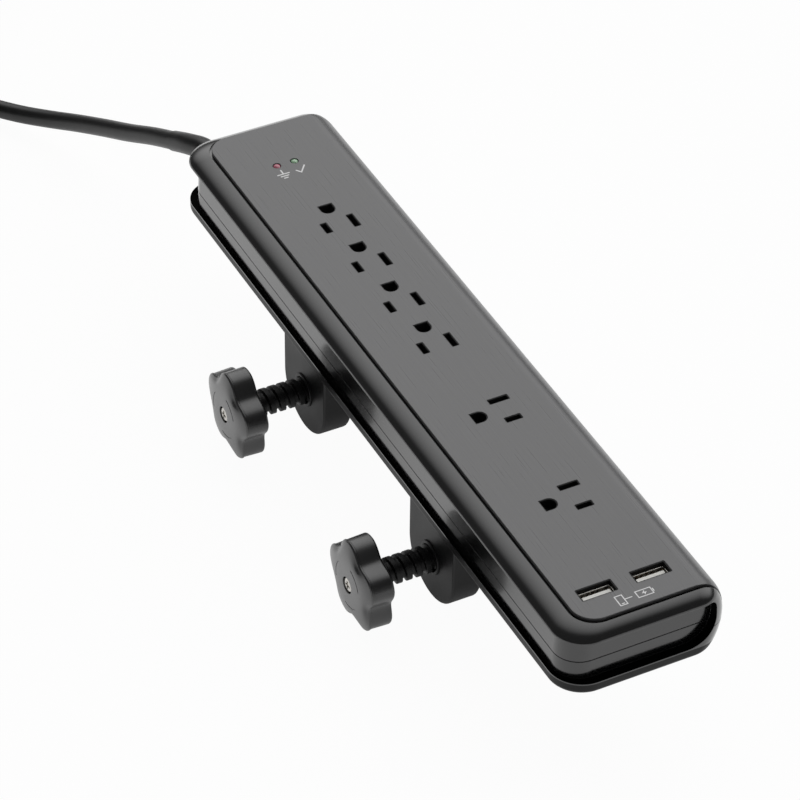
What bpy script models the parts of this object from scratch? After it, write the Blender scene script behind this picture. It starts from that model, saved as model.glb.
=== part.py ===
"""Desk-clamp power strip: a book-shaped housing with six outlets and two USB ports,
two screw clamps under it, and a mains cord that is put away in a tied coil.

The strip frame has X along the strip, Y from the knobs to the spine, Z up.
Its zero is on the outlets' centre line, halfway along, at the face plate's top.
"""
from math import cos, pi, radians, sin, sqrt, tau

import bmesh
import bpy
from mathutils import Matrix, Vector

# Housing
STRIP_LENGTH = 0.3502
FRONT_EDGE = 0.0368
SPINE_EDGE = 0.0346
STRIP_HEIGHT = 0.0313
COVER_DEPTH = 0.0057
FLANGE_DEPTH = 0.0056
SPINE_BULGE = 0.0074
FRONT_ROLL = 0.0068
END_ROLL = 0.0039
FOOT_ROUND = 0.0025
CORNER_FRONT = 0.0140
CORNER_SPINE = 0.0106
FRONT_RECESS = 0.0032
END_RECESS = 0.0061
RECESS_CORNER = 0.0100
RECESS_SPINE_CORNER = 0.0015
SPINE_SKIN = 0.0066
CHANNEL_TOP_ROUND = 0.0035
CHANNEL_FOOT_ROUND = 0.0125
PARTING_DEPTH = 0.0180
WALL = 0.0024
ROOF = 0.0023
FLOOR = 0.0030
SPINE_WALL = 0.0060
HOLLOW_CORNER = 0.0050

# Face plate and the groove around it
PLATE_THICKNESS = 0.0016
PLATE_FRONT = 0.0272
PLATE_END_INSET = 0.0065
PLATE_CORNER = 0.0095
GROOVE = 0.0024

# Outlets, by the plug standard they take
BLADE_SPACING = 0.0127
GROUND_OFFSET = 0.0119
SLOT_WIDTH = 0.0031
NEUTRAL_SLOT = 0.0090
HOT_SLOT = 0.0073
GROUND_HOLE = 0.0066
GROUND_FLAT = 0.0031
FIRST_OUTLET_INSET = 0.0839
OUTLET_PITCH = 0.0297
LENGTHWISE_OUTLETS = 4
CROSSWISE_INSET = 0.0713
CROSSWISE_PITCH = 0.0577
CROSSWISE_BLADE_Y = 0.00585

# USB ports and indicator lamps
USB_INSET = 0.0208
USB_CENTRES = (-0.0135, 0.0098)
USB_OPENING = (0.0065, 0.0152)
USB_SHEET = 0.0004
USB_SINK = 0.0024
USB_DEPTH = 0.0119
USB_TONGUE = (0.0019, 0.0122)
USB_TONGUE_RISE = 0.0004
USB_TONGUE_OFFSET = 0.0008
USB_BASE = 0.0020
LAMP_INSET = 0.0349
LAMP_YS = (0.0022, -0.0061)
LAMP_DIAMETER = 0.0030
LAMP_PROUD = 0.0003
LAMP_CROWN = (0.6, 0.75)

# Inside the housing
BOARD = 0.0016
SURGE_BOARD_DEPTH = 0.0100
SURGE_BOARD_INSET = 0.0171
SURGE_BOARD_LENGTH = 0.0440
USB_BOARD_INSET = 0.0111
USB_BOARD_LENGTH = 0.0190
BOARD_FRONT_GAP = 0.0072
BOARD_SPINE_GAP = 0.0086
BOARD_POST = 0.0060
BOARD_POST_INSET = 0.0040
VARISTOR_DIAMETER = 0.0140
VARISTOR_THICKNESS = 0.0050
VARISTOR_PITCH = 0.0120
VARISTORS = 3
BAR = 0.0008
BAR_WIDTH = 0.0060
BAR_OFFSET = 0.0140
BAR_DEPTH = 0.0150
GROUND_BAR_DEPTH = 0.0190
BAR_OVERRUN = 0.0080
CLIP_LENGTH = 0.0070
CLIP_GAP = 0.0018
GROUND_CLIP_GAP = 0.0042
ARM_INSET = 0.00008
CLIP_HEADROOM = 0.0010
RIB = 0.0020
POST_DIAMETER = 0.0080
POST_CORD_INSET = 0.0671
POST_USB_INSET = 0.0431
POST_MIDDLE = 0.0150
POST_FRONT_GAP = 0.0062
POST_SPINE_GAP = 0.0071
SCREW_DIAMETER = 0.0030
SCREW_HEAD = 0.0062
SCREW_HEAD_HEIGHT = 0.0022
SCREW_SINK = 0.0008
SCREW_REACH = 0.0100
HEAD_EDGE_SHARE = 0.4
HEAD_FACE_SHARE = 0.8

# Clamps
CLAMP_SPACING = 0.1167
JAW_WIDTH = 0.0390
JAW_FRONT = 0.0330
JAW_THICKNESS = 0.0130
JAW_ROUND = 0.0013
JAW_STEPS = 18
JAW_END_DEPTH = 0.0545
AXIS_DEPTH = 0.0540
FIXED_JAW_FACE = 0.0260
FIXED_JAW_THICKNESS = 0.0070
BASE_THICKNESS = 0.0050
BASE_SCREW_YS = (-0.0080, 0.0140)
BASE_SCREW_REACH = 0.0070
SPINDLE_DIAMETER = 0.0118
SPINDLE_FREE = 0.0250
SPINDLE_NECK = 0.0070
NECK_LENGTH = 0.0028
SPINDLE_SOCKET = 0.0050
PAD_HEADROOM = 0.0044
PAD_HUB = 0.0130
PAD_HUB_LENGTH = 0.0030
PAD_DISC = 0.0030
PAD_BACK_OFF = 0.0018
KNOB_RADIUS = 0.0198
KNOB_LENGTH = 0.0123
KNOB_LOBES = 5
LOBE_POINTS = 10
KNOB_NOTCH = 0.0042
KNOB_NOTCH_SHARPNESS = 1.4
KNOB_DOME = 0.0018
KNOB_BACK_EDGE = 0.0011
KNOB_BACK_SCALE = 0.95
KNOB_TURNS = (radians(55), radians(64))
BOLT_HEAD = 0.0066
BOLT_HEAD_HEIGHT = 0.0016
BOLT_DIAMETER = 0.0040
BOLT_REACH = 0.0140
BOLT_SINK = 0.0002

# Mains cord, its strain relief, coil, tie and plug
CORD_DIAMETER = 0.0084
CORD_EXIT_Y = -0.0200
CORD_EXIT_DEPTH = 0.0160
RELIEF_NECK = 0.0102
RELIEF_FLANGE = 0.0138
RELIEF_FLANGE_LENGTH = 0.0020
RELIEF_COLLAR = 0.0114
RELIEF_COLLAR_LENGTH = 0.0030
RELIEF_COLLAR_EDGE = 0.0006
RELIEF_SHOULDER = 0.0103
RELIEF_TIP = 0.0092
RELIEF_STEP_RUN = 0.0001
RELIEF_STRAIGHT = 0.0120
RELIEF_STEP = 0.0060
COIL_CENTRE = (-0.4650, -0.0660)
COIL_MEAN_RADIUS = 0.0465
COIL_LAYERS = 4
COIL_TURNS = 7
COIL_PITCH = 0.0092
COIL_LIFT = 0.0018
LOOP_POINTS = 24
LAYER_CLIMB = 0.5
TAIL_CLIMB = 0.25
TAIL_SHARE = 0.4
TAIL_RADIUS = 0.0370
TIE_WIDTH = 0.0100
TIE_THICKNESS = 0.0010
TIE_SLACK = 0.0004
TIE_ANGLE = radians(50)
PLUG_WIDTH = 0.0270
PLUG_HEIGHT = 0.0250
PLUG_BODY = 0.0300
PLUG_NECK = 0.0240
PLUG_NECK_TIP = 0.0110
PLUG_SHOULDER = 0.0060
PLUG_EDGE = 0.0018
BLADE_WIDTH = 0.0063
BLADE_THICKNESS = 0.0015
BLADE_LENGTH = 0.0180
PIN_DIAMETER = 0.0048
PIN_LENGTH = 0.0200
PIN_ROOT = 0.0060
NEUTRAL_BLADE_WIDTH = 0.0079
BLADE_RISE = 0.0040

# Fits and roundness
CLEARANCE = 0.0003
HOLE_CLEARANCE = 0.0006
OVERCUT = 0.0050
CORNER_STEPS = 6
ROLL_STEPS = 4
SKIN_SHARES = (0.0, 0.28, 0.45, 0.62, 0.8, 1.0)
UPPER_SHARES = (0.3, 0.62, 1.0)
LOWER_SHARES = (0.0, 0.4, 0.75)
ROUND_SIDES = 24
SMALL_SIDES = 16
POST_SIDES = 10
SPLINE_STEPS = 20
GROUND_STEPS = 10
GAP_SAMPLES = 4

# Places that follow from the sizes above
END = STRIP_LENGTH / 2
RECESS_END = END - END_RECESS
RECESS_FRONT = FRONT_EDGE - FRONT_RECESS
POCKET_DEPTH = PLATE_THICKNESS + CLEARANCE
ROOF_DEPTH = POCKET_DEPTH + ROOF
FLOOR_DEPTH = STRIP_HEIGHT - FLOOR
JAW_RADIUS = JAW_WIDTH / 2
STAND_DEPTH = JAW_END_DEPTH + JAW_RADIUS
BASE_TOP = STRIP_HEIGHT + CLEARANCE
BASE_BOTTOM = BASE_TOP + BASE_THICKNESS
KNOB_BACK = -JAW_FRONT - SPINDLE_FREE
KNOB_FRONT = KNOB_BACK - KNOB_LENGTH
PAD_BACK = -JAW_FRONT + JAW_THICKNESS + PAD_BACK_OFF
PAD_FRONT = PAD_BACK + PAD_HUB_LENGTH + PAD_DISC
CLAMP_XS = (-CLAMP_SPACING / 2, CLAMP_SPACING / 2)
FRAME_PLACE = (0.0, -(KNOB_FRONT + SPINE_EDGE) / 2, STAND_DEPTH)
LENGTHWISE_XS = [-END + FIRST_OUTLET_INSET + OUTLET_PITCH * i for i in range(LENGTHWISE_OUTLETS)]
CROSSWISE_XS = (END - CROSSWISE_INSET - CROSSWISE_PITCH, END - CROSSWISE_INSET)
USB_X = END - USB_INSET
LAMP_X = -END + LAMP_INSET
HOLLOW_FRONT = RECESS_FRONT - WALL
HOLLOW_SPINE = SPINE_EDGE - SPINE_WALL
SURGE_BOARD_X = (-END + SURGE_BOARD_INSET, -END + SURGE_BOARD_INSET + SURGE_BOARD_LENGTH)
USB_BOARD_X = (END - USB_BOARD_INSET - USB_BOARD_LENGTH, END - USB_BOARD_INSET)
BOARD_Y = (-HOLLOW_FRONT + BOARD_FRONT_GAP, HOLLOW_SPINE - BOARD_SPINE_GAP)
POST_XS = (-END + POST_CORD_INSET, POST_MIDDLE, END - POST_USB_INSET)
POST_YS = (-HOLLOW_FRONT + POST_FRONT_GAP, HOLLOW_SPINE - POST_SPINE_GAP)
RIB_XS = (LENGTHWISE_XS[0], LENGTHWISE_XS[-1], *CROSSWISE_XS)
PAD_RADIUS = AXIS_DEPTH - BASE_BOTTOM - PAD_HEADROOM
USB_BOARD_DEPTH = USB_SINK + USB_DEPTH + CLEARANCE
CORD_RADIUS = CORD_DIAMETER / 2
CORD_REST = -STAND_DEPTH + CORD_RADIUS

# The cord's route from the strain relief's tip to the coil, as points that it passes
CORD_ROUTE = (
    (-0.2065, -0.0250, -0.0240),
    (-0.2225, -0.0283, -0.0308),
    (-0.2410, -0.0325, -0.0395),
    (-0.2600, -0.0372, -0.0475),
    (-0.2780, -0.0428, -0.0548),
    (-0.2950, -0.0500, -0.0612),
    (-0.3120, -0.0592, -0.0660),
    (-0.3300, -0.0706, -0.0684),
    (-0.3500, -0.0836, -0.0694),
    (-0.3720, -0.0968, -0.0697),
    (-0.3980, -0.1100, -0.0691),
    (-0.4220, -0.1180, -0.0683),
)

# The knob's front, as (drop in domes, share of the full radius, share of the full notch)
KNOB_STATIONS = (
    (0.0, 0.30, 0.0),
    (0.15, 0.60, 0.3),
    (0.4, 0.84, 0.9),
    (0.75, 0.965, 1.0),
    (1.2, 1.0, 1.0),
)

# How square the plug's sections are, from a round neck to a boxy face
PLUG_SQUARENESS = (2.0, 2.0, 2.4, 3.2, 3.6, 3.6)
PLUG_NECK_WAIST = 0.6
PLUG_NECK_SWELL = 1.25
PLUG_ROOT_SHARE = 0.8

for old in list(bpy.data.objects):
    bpy.data.objects.remove(old, do_unlink=True)

parts = bpy.data.collections.new("desk_clamp_power_strip")
cutters = bpy.data.collections.new("cutters")
for collection in (parts, cutters):
    bpy.context.scene.collection.children.link(collection)


def make_material(name, colour, roughness, metallic=0.0):
    material = bpy.data.materials.new(name)
    material.use_nodes = True
    shader = material.node_tree.nodes["Principled BSDF"]
    shader.inputs["Base Color"].default_value = (*colour, 1.0)
    shader.inputs["Roughness"].default_value = roughness
    shader.inputs["Metallic"].default_value = metallic
    return material


GLOSS_BLACK = make_material("gloss black ABS", (0.010, 0.010, 0.011), 0.14)
SATIN_PLATE = make_material("brushed charcoal ABS", (0.060, 0.060, 0.062), 0.42)
SATIN_BLACK = make_material("satin black nylon", (0.018, 0.018, 0.019), 0.38)
CORD_BLACK = make_material("black PVC", (0.012, 0.012, 0.013), 0.48)
PAD_RUBBER = make_material("black rubber", (0.012, 0.012, 0.012), 0.75)
NICKEL = make_material("nickel-plated steel", (0.62, 0.60, 0.57), 0.25, 1.0)
BRASS = make_material("brass", (0.60, 0.42, 0.16), 0.30, 1.0)
BOARD_GREEN = make_material("green circuit board", (0.02, 0.12, 0.05), 0.45)
VARISTOR_BLUE = make_material("blue epoxy", (0.02, 0.08, 0.30), 0.40)
TONGUE_WHITE = make_material("white PBT", (0.78, 0.78, 0.75), 0.40)
LAMP_GREEN = make_material("green lamp lens", (0.30, 0.55, 0.30), 0.20)
LAMP_RED = make_material("red lamp lens", (0.60, 0.12, 0.16), 0.20)

strip_frame = bpy.data.objects.new("strip_frame", None)
strip_frame.location = FRAME_PLACE
parts.objects.link(strip_frame)


def make_object(name, mesh, material, parent=strip_frame, smooth_angle=radians(35)):
    obj = bpy.data.objects.new(name, mesh)
    parts.objects.link(obj)
    obj.parent = parent
    mesh.materials.clear()
    mesh.materials.append(material)
    mesh.shade_smooth()
    mesh.set_sharp_from_angle(angle=smooth_angle)
    return obj


def make_cutter(name, mesh, parent=strip_frame):
    obj = bpy.data.objects.new(name, mesh)
    cutters.objects.link(obj)
    obj.parent = parent
    obj.hide_render = True
    obj.display_type = "WIRE"
    return obj


def combine(target, other, operation, tidy_overlaps=False):
    modifier = target.modifiers.new(f"{operation.lower()} {other.name}", "BOOLEAN")
    modifier.operation = operation
    modifier.object = other
    modifier.use_self = tidy_overlaps


def mesh_from(name, bm):
    bmesh.ops.recalc_face_normals(bm, faces=bm.faces)
    mesh = bpy.data.meshes.new(name)
    bm.to_mesh(mesh)
    bm.free()
    return mesh


def add_box(bm, low, high):
    """A box between two corners, added to a mesh under construction."""
    low, high = Vector(low), Vector(high)
    place = Matrix.Translation((low + high) / 2) @ Matrix.Diagonal((high - low).to_4d())
    place[3][3] = 1.0
    bmesh.ops.create_cube(bm, size=1.0, matrix=place)


def add_rod(bm, start, end, radius, end_radius=None, sides=ROUND_SIDES):
    """A rod or a cone between two points, added to a mesh under construction."""
    start, end = Vector(start), Vector(end)
    turn = (end - start).to_track_quat("Z", "Y").to_matrix().to_4x4()
    bmesh.ops.create_cone(
        bm, cap_ends=True, segments=sides, radius1=radius,
        radius2=radius if end_radius is None else end_radius,
        depth=(end - start).length, matrix=Matrix.Translation((start + end) / 2) @ turn,
    )


def box_mesh(name, *boxes):
    bm = bmesh.new()
    for low, high in boxes:
        add_box(bm, low, high)
    return mesh_from(name, bm)


def rod_mesh(name, *rods):
    bm = bmesh.new()
    for rod in rods:
        add_rod(bm, *rod)
    return mesh_from(name, bm)


def loft_mesh(name, rings):
    """A closed skin over rings of equal length, with a flat face on the first and the last."""
    bm = bmesh.new()
    rows = [[bm.verts.new(point) for point in ring] for ring in rings]
    count = len(rows[0])
    for upper, lower in zip(rows, rows[1:]):
        for i in range(count):
            j = (i + 1) % count
            bm.faces.new((upper[i], upper[j], lower[j], lower[i]))
    bm.faces.new(rows[0])
    bm.faces.new(rows[-1])
    return mesh_from(name, bm)


def plan_ring(end, front, spine, front_corner, spine_corner, z):
    """A rounded rectangle in plan, with one radius by the knobs and one by the spine."""
    corners = (
        (end, spine, spine_corner, 0.0),
        (-end, spine, spine_corner, pi / 2),
        (-end, -front, front_corner, pi),
        (end, -front, front_corner, 3 * pi / 2),
    )
    ring = []
    for x, y, radius, start in corners:
        middle = (x - radius * (1 if x > 0 else -1), y - radius * (1 if y > 0 else -1))
        for i in range(CORNER_STEPS + 1):
            angle = start + pi / 2 * i / CORNER_STEPS
            ring.append((middle[0] + radius * cos(angle), middle[1] + radius * sin(angle), z))
    return ring


def spine_inset(depth, skin=0.0):
    """How far the half-round spine has curved in at a depth, under a skin of some thickness."""
    rise = STRIP_HEIGHT / 2 - skin
    share = min(1.0, abs(depth - STRIP_HEIGHT / 2) / rise)
    return skin + (SPINE_BULGE - skin) * (1 - sqrt(1 - share * share))


def housing_ring(depth, roll, foot=0.0):
    """The housing's outline at a depth; roll and foot run from 0 on the side to 1 on the flat."""
    end = END - END_ROLL * roll - FOOT_ROUND * foot
    front = FRONT_EDGE - FRONT_ROLL * roll - FOOT_ROUND * foot
    tuck = (END_ROLL + FRONT_ROLL) / 2 * roll + FOOT_ROUND * foot
    return plan_ring(
        end, front, SPINE_EDGE - spine_inset(depth), CORNER_FRONT - tuck,
        CORNER_SPINE - END_ROLL * roll - FOOT_ROUND * foot, -depth,
    )


def upper_rings():
    rolled = [pi / 2 * i / ROLL_STEPS for i in range(ROLL_STEPS + 1)]
    rings = [housing_ring(COVER_DEPTH * (1 - cos(a)), 1 - sin(a)) for a in rolled]
    below = PARTING_DEPTH - COVER_DEPTH
    rings += [housing_ring(COVER_DEPTH + below * share, 0) for share in UPPER_SHARES]
    return rings


def lower_rings():
    start = PARTING_DEPTH + CLEARANCE
    straight = STRIP_HEIGHT - FOOT_ROUND - start
    rings = [housing_ring(start + straight * share, 0) for share in LOWER_SHARES]
    rolled = [pi / 2 * i / ROLL_STEPS for i in range(ROLL_STEPS + 1)]
    for a in rolled:
        rings.append(housing_ring(STRIP_HEIGHT - FOOT_ROUND * (1 - sin(a)), 0, 1 - cos(a)))
    return rings


def under_skin_mesh(name, skin):
    """The housing's volume under a skin on its top and its spine."""
    depths = [skin + (PARTING_DEPTH + OVERCUT - skin) * share ** 3 for share in SKIN_SHARES]
    rings = [
        plan_ring(END - skin, FRONT_EDGE, SPINE_EDGE - spine_inset(depth, skin),
                  CORNER_FRONT, CORNER_SPINE - skin, -depth)
        for depth in depths
    ]
    return loft_mesh(name, rings)


def prism_mesh(name, end, front, spine, front_corner, spine_corner, top, bottom):
    rings = [plan_ring(end, front, spine, front_corner, spine_corner, z) for z in (top, bottom)]
    return loft_mesh(name, rings)


def outlet_holes():
    """Each outlet's holes as (kind, x, y, direction of the slots' length)."""
    holes = []
    for x in LENGTHWISE_XS:
        holes.append(("neutral", x, BLADE_SPACING / 2, "x"))
        holes.append(("hot", x, -BLADE_SPACING / 2, "x"))
        holes.append(("ground", x - GROUND_OFFSET, 0.0, "x"))
    for x in CROSSWISE_XS:
        holes.append(("neutral", x - BLADE_SPACING / 2, CROSSWISE_BLADE_Y, "y"))
        holes.append(("hot", x + BLADE_SPACING / 2, CROSSWISE_BLADE_Y, "y"))
        holes.append(("ground", x, CROSSWISE_BLADE_Y - GROUND_OFFSET, "y"))
    return holes


def add_ground_hole(bm, x, y, along, top, bottom):
    """A hole that is round towards the blades and square on the side away from them."""
    radius = GROUND_HOLE / 2
    outline = [(-GROUND_FLAT, radius), (-GROUND_FLAT, -radius)]
    for i in range(GROUND_STEPS + 1):
        angle = pi * (i / GROUND_STEPS - 0.5)
        outline.append((radius * cos(angle), radius * sin(angle)))
    if along == "y":
        outline = [(-across, forward) for forward, across in outline]
    rows = [[bm.verts.new((x + px, y + py, z)) for px, py in outline] for z in (top, bottom)]
    count = len(outline)
    for i in range(count):
        j = (i + 1) % count
        bm.faces.new((rows[0][i], rows[0][j], rows[1][j], rows[1][i]))
    bm.faces.new(rows[0])
    bm.faces.new(rows[1])


def face_openings_mesh():
    """All that is cut through the face: outlet slots, USB openings and lamp holes."""
    bm = bmesh.new()
    top, bottom = OVERCUT, -ROOF_DEPTH - OVERCUT / 2
    for kind, x, y, along in outlet_holes():
        if kind == "ground":
            add_ground_hole(bm, x, y, along, top, bottom)
            continue
        length = NEUTRAL_SLOT if kind == "neutral" else HOT_SLOT
        half_x, half_y = length / 2, SLOT_WIDTH / 2
        if along == "y":
            half_x, half_y = half_y, half_x
        add_box(bm, (x - half_x, y - half_y, bottom), (x + half_x, y + half_y, top))
    for y in USB_CENTRES:
        half_x, half_y = USB_OPENING[0] / 2, USB_OPENING[1] / 2
        add_box(bm, (USB_X - half_x, y - half_y, bottom), (USB_X + half_x, y + half_y, top))
    for y in LAMP_YS:
        radius = (LAMP_DIAMETER + HOLE_CLEARANCE) / 2
        add_rod(bm, (LAMP_X, y, bottom), (LAMP_X, y, top), radius, None, SMALL_SIDES)
    return mesh_from("face_openings", bm)


def channel_section():
    """The side channel's (y, z) outline: open by the knobs, round corners inside the spine."""
    mouth, floor, roof = SPINE_EDGE - SPINE_SKIN, -STRIP_HEIGHT + FLANGE_DEPTH, -COVER_DEPTH
    outline = [(-FRONT_EDGE - OVERCUT, floor), (-FRONT_EDGE - OVERCUT, roof)]
    for radius, middle, start in ((CHANNEL_TOP_ROUND, roof - CHANNEL_TOP_ROUND, pi / 2),
                                  (CHANNEL_FOOT_ROUND, floor + CHANNEL_FOOT_ROUND, 0.0)):
        for i in range(CORNER_STEPS + 1):
            angle = start - pi / 2 * i / CORNER_STEPS
            outline.append((mouth - radius * (1 - cos(angle)), middle + radius * sin(angle)))
    return outline


def make_housing_cutters():
    """The recess around the housing, the hollow inside it, the plate's pocket and the holes."""
    section = channel_section()
    ends = [[(x, y, z) for y, z in section] for x in (-END - OVERCUT, END + OVERCUT)]
    recess = make_cutter("side_recess", loft_mesh("side_recess", ends))
    pages = make_cutter("recessed_core", prism_mesh(
        "recessed_core", RECESS_END, RECESS_FRONT, SPINE_EDGE, RECESS_CORNER,
        RECESS_SPINE_CORNER, OVERCUT, -STRIP_HEIGHT - OVERCUT,
    ))
    combine(recess, pages, "DIFFERENCE")
    hollow = make_cutter("housing_hollow", prism_mesh(
        "housing_hollow", RECESS_END - WALL, HOLLOW_FRONT, HOLLOW_SPINE,
        HOLLOW_CORNER, HOLLOW_CORNER, -ROOF_DEPTH, -FLOOR_DEPTH,
    ))
    pocket = make_cutter("plate_pocket", prism_mesh(
        "plate_pocket", END - PLATE_END_INSET + GROOVE, PLATE_FRONT + GROOVE, FRONT_EDGE * 2,
        PLATE_CORNER + GROOVE, GROOVE, OVERCUT, -PARTING_DEPTH - OVERCUT / 2,
    ))
    pocket_floor = make_cutter("pocket_floor", under_skin_mesh("pocket_floor", POCKET_DEPTH))
    combine(pocket, pocket_floor, "DIFFERENCE")
    openings = make_cutter("face_openings", face_openings_mesh())
    cord_hole = make_cutter("cord_hole", rod_mesh("cord_hole", (
        (-END - OVERCUT, CORD_EXIT_Y, -CORD_EXIT_DEPTH),
        (-RECESS_END + WALL + OVERCUT, CORD_EXIT_Y, -CORD_EXIT_DEPTH),
        RELIEF_NECK / 2 + CLEARANCE,
    )))
    return recess, hollow, pocket, openings, cord_hole


def make_top_shell(recess, hollow, pocket, openings, cord_hole):
    shell = make_object("top_shell", loft_mesh("top_shell", upper_rings()), GLOSS_BLACK)
    bosses = [
        ((x, y, -ROOF_DEPTH + ROOF / 2), (x, y, -PARTING_DEPTH), POST_DIAMETER / 2, None, POST_SIDES)
        for x in POST_XS for y in POST_YS
    ]
    pilots = [
        ((x, y, -ROOF_DEPTH - SCREW_DIAMETER), (x, y, -PARTING_DEPTH - OVERCUT),
         SCREW_DIAMETER / 2 + CLEARANCE, None, POST_SIDES)
        for x in POST_XS for y in POST_YS
    ]
    for cutter in (recess, hollow, pocket, openings, cord_hole):
        combine(shell, cutter, "DIFFERENCE")
    combine(shell, make_cutter("screw_bosses", rod_mesh("screw_bosses", *bosses)), "UNION")
    combine(shell, make_cutter("screw_pilots", rod_mesh("screw_pilots", *pilots)), "DIFFERENCE")
    return shell


def make_face_plate(openings):
    plate = make_object("face_plate", loft_mesh("face_plate", upper_rings()), SATIN_PLATE)
    outline = make_cutter("plate_outline", prism_mesh(
        "plate_outline", END - PLATE_END_INSET, PLATE_FRONT, FRONT_EDGE * 2, PLATE_CORNER,
        GROOVE, OVERCUT, -PARTING_DEPTH - OVERCUT / 2,
    ))
    underside = make_cutter("plate_underside", under_skin_mesh("plate_underside", PLATE_THICKNESS))
    combine(plate, outline, "INTERSECT")
    combine(plate, underside, "DIFFERENCE")
    combine(plate, openings, "DIFFERENCE")
    return plate


def board_posts(xs, ys, board_depth):
    """Posts under a circuit board's corners, from the housing's floor."""
    inset = BOARD_POST_INSET
    return [
        ((x, y, -FLOOR_DEPTH - FLOOR / 2), (x, y, -board_depth - BOARD - CLEARANCE),
         BOARD_POST / 2, None, POST_SIDES)
        for x in (xs[0] + inset, xs[1] - inset) for y in (ys[0] + inset, ys[1] - inset)
    ]


def make_bottom_shell(recess, hollow, cord_hole):
    shell = make_object("bottom_shell", loft_mesh("bottom_shell", lower_rings()), GLOSS_BLACK)
    for cutter in (recess, hollow, cord_hole):
        combine(shell, cutter, "DIFFERENCE")
    root = -FLOOR_DEPTH - FLOOR / 2
    posts = [
        ((x, y, root), (x, y, -PARTING_DEPTH - CLEARANCE), POST_DIAMETER / 2, None, POST_SIDES)
        for x in POST_XS for y in POST_YS
    ]
    posts += board_posts(SURGE_BOARD_X, BOARD_Y, SURGE_BOARD_DEPTH)
    posts += board_posts(USB_BOARD_X, BOARD_Y, USB_BOARD_DEPTH)
    posts += [
        ((x, y, root), (x, y, -STRIP_HEIGHT + BASE_SCREW_REACH + FLOOR / 2), POST_DIAMETER / 2,
         None, POST_SIDES)
        for x in CLAMP_XS for y in BASE_SCREW_YS
    ]
    ribs = []
    for x in RIB_XS:
        for y, depth in ((BAR_OFFSET, BAR_DEPTH), (-BAR_OFFSET, BAR_DEPTH), (0.0, GROUND_BAR_DEPTH)):
            ribs.append((
                (x - RIB / 2, y - BAR_WIDTH / 2, root),
                (x + RIB / 2, y + BAR_WIDTH / 2, -depth - BAR - CLEARANCE),
            ))
    holes = []
    for x in POST_XS:
        for y in POST_YS:
            holes.append(((x, y, -STRIP_HEIGHT - OVERCUT), (x, y, -PARTING_DEPTH + OVERCUT),
                          SCREW_DIAMETER / 2 + CLEARANCE, None, POST_SIDES))
            holes.append(((x, y, -STRIP_HEIGHT - OVERCUT),
                          (x, y, -STRIP_HEIGHT + SCREW_SINK + SCREW_HEAD_HEIGHT + CLEARANCE),
                          SCREW_HEAD / 2 + CLEARANCE, None, POST_SIDES))
    for x in CLAMP_XS:
        for y in BASE_SCREW_YS:
            holes.append(((x, y, -STRIP_HEIGHT - OVERCUT),
                          (x, y, -STRIP_HEIGHT + BASE_SCREW_REACH),
                          SCREW_DIAMETER / 2 + CLEARANCE, None, POST_SIDES))
    combine(shell, make_cutter("floor_posts", rod_mesh("floor_posts", *posts)), "UNION")
    combine(shell, make_cutter("bar_ribs", box_mesh("bar_ribs", *ribs)), "UNION")
    screw_holes = make_cutter("floor_screw_holes", rod_mesh("floor_screw_holes", *holes))
    combine(shell, screw_holes, "DIFFERENCE", tidy_overlaps=True)
    return shell


def make_housing_screws():
    for i, (x, y) in enumerate(((x, y) for x in POST_XS for y in POST_YS), start=1):
        seat = -STRIP_HEIGHT + SCREW_SINK
        make_screw(f"housing_screw_{i}", (x, y, seat), SCREW_HEAD_HEIGHT,
                   -SCREW_REACH - seat, NICKEL)


def make_screw(name, seat, head_height, reach, material):
    """A pan-head screw that points up: a turned profile round its own axis."""
    head, shank = SCREW_HEAD / 2, SCREW_DIAMETER / 2
    profile = [(0.0, reach), (shank, reach), (shank, head_height), (head, head_height),
               (head, head_height * HEAD_EDGE_SHARE), (head * HEAD_FACE_SHARE, 0.0), (0.0, 0.0)]
    screw = make_turned(name, profile, material, sides=POST_SIDES)
    screw.location = seat
    return screw


def profile_mesh(name, profile):
    """A profile of (radius, height) points, from top to bottom, ready to be turned."""
    bm = bmesh.new()
    points = [bm.verts.new((radius, 0.0, height)) for radius, height in profile]
    for a, b in zip(points, points[1:]):
        bm.edges.new((a, b))
    mesh = bpy.data.meshes.new(name)
    bm.to_mesh(mesh)
    bm.free()
    return mesh


def make_turned(name, profile, material, parent=strip_frame, sides=ROUND_SIDES):
    return turned(make_object(name, profile_mesh(name, profile), material, parent), sides)


def turned(obj, sides=ROUND_SIDES):
    turn = obj.modifiers.new("turn", "SCREW")
    turn.axis = "Z"
    turn.angle = tau
    turn.steps = turn.render_steps = sides
    turn.use_merge_vertices = True
    turn.merge_threshold = 0.00001
    return obj


def clip_boxes(x, y, along, gap, bar_depth):
    """The two leaves that grip a blade, from a bus bar up to just under the roof."""
    boxes = []
    for side in (-1, 1):
        near = side * gap / 2
        far = near + side * BAR
        low, high = min(near, far), max(near, far)
        half = CLIP_LENGTH / 2
        top = -ROOF_DEPTH - CLIP_HEADROOM
        if along == "x":
            boxes.append(((x - half, y + low, -bar_depth - BAR / 2), (x + half, y + high, top)))
        else:
            boxes.append(((x + low, y - half, -bar_depth - BAR / 2), (x + high, y + half, top)))
    return boxes


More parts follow.
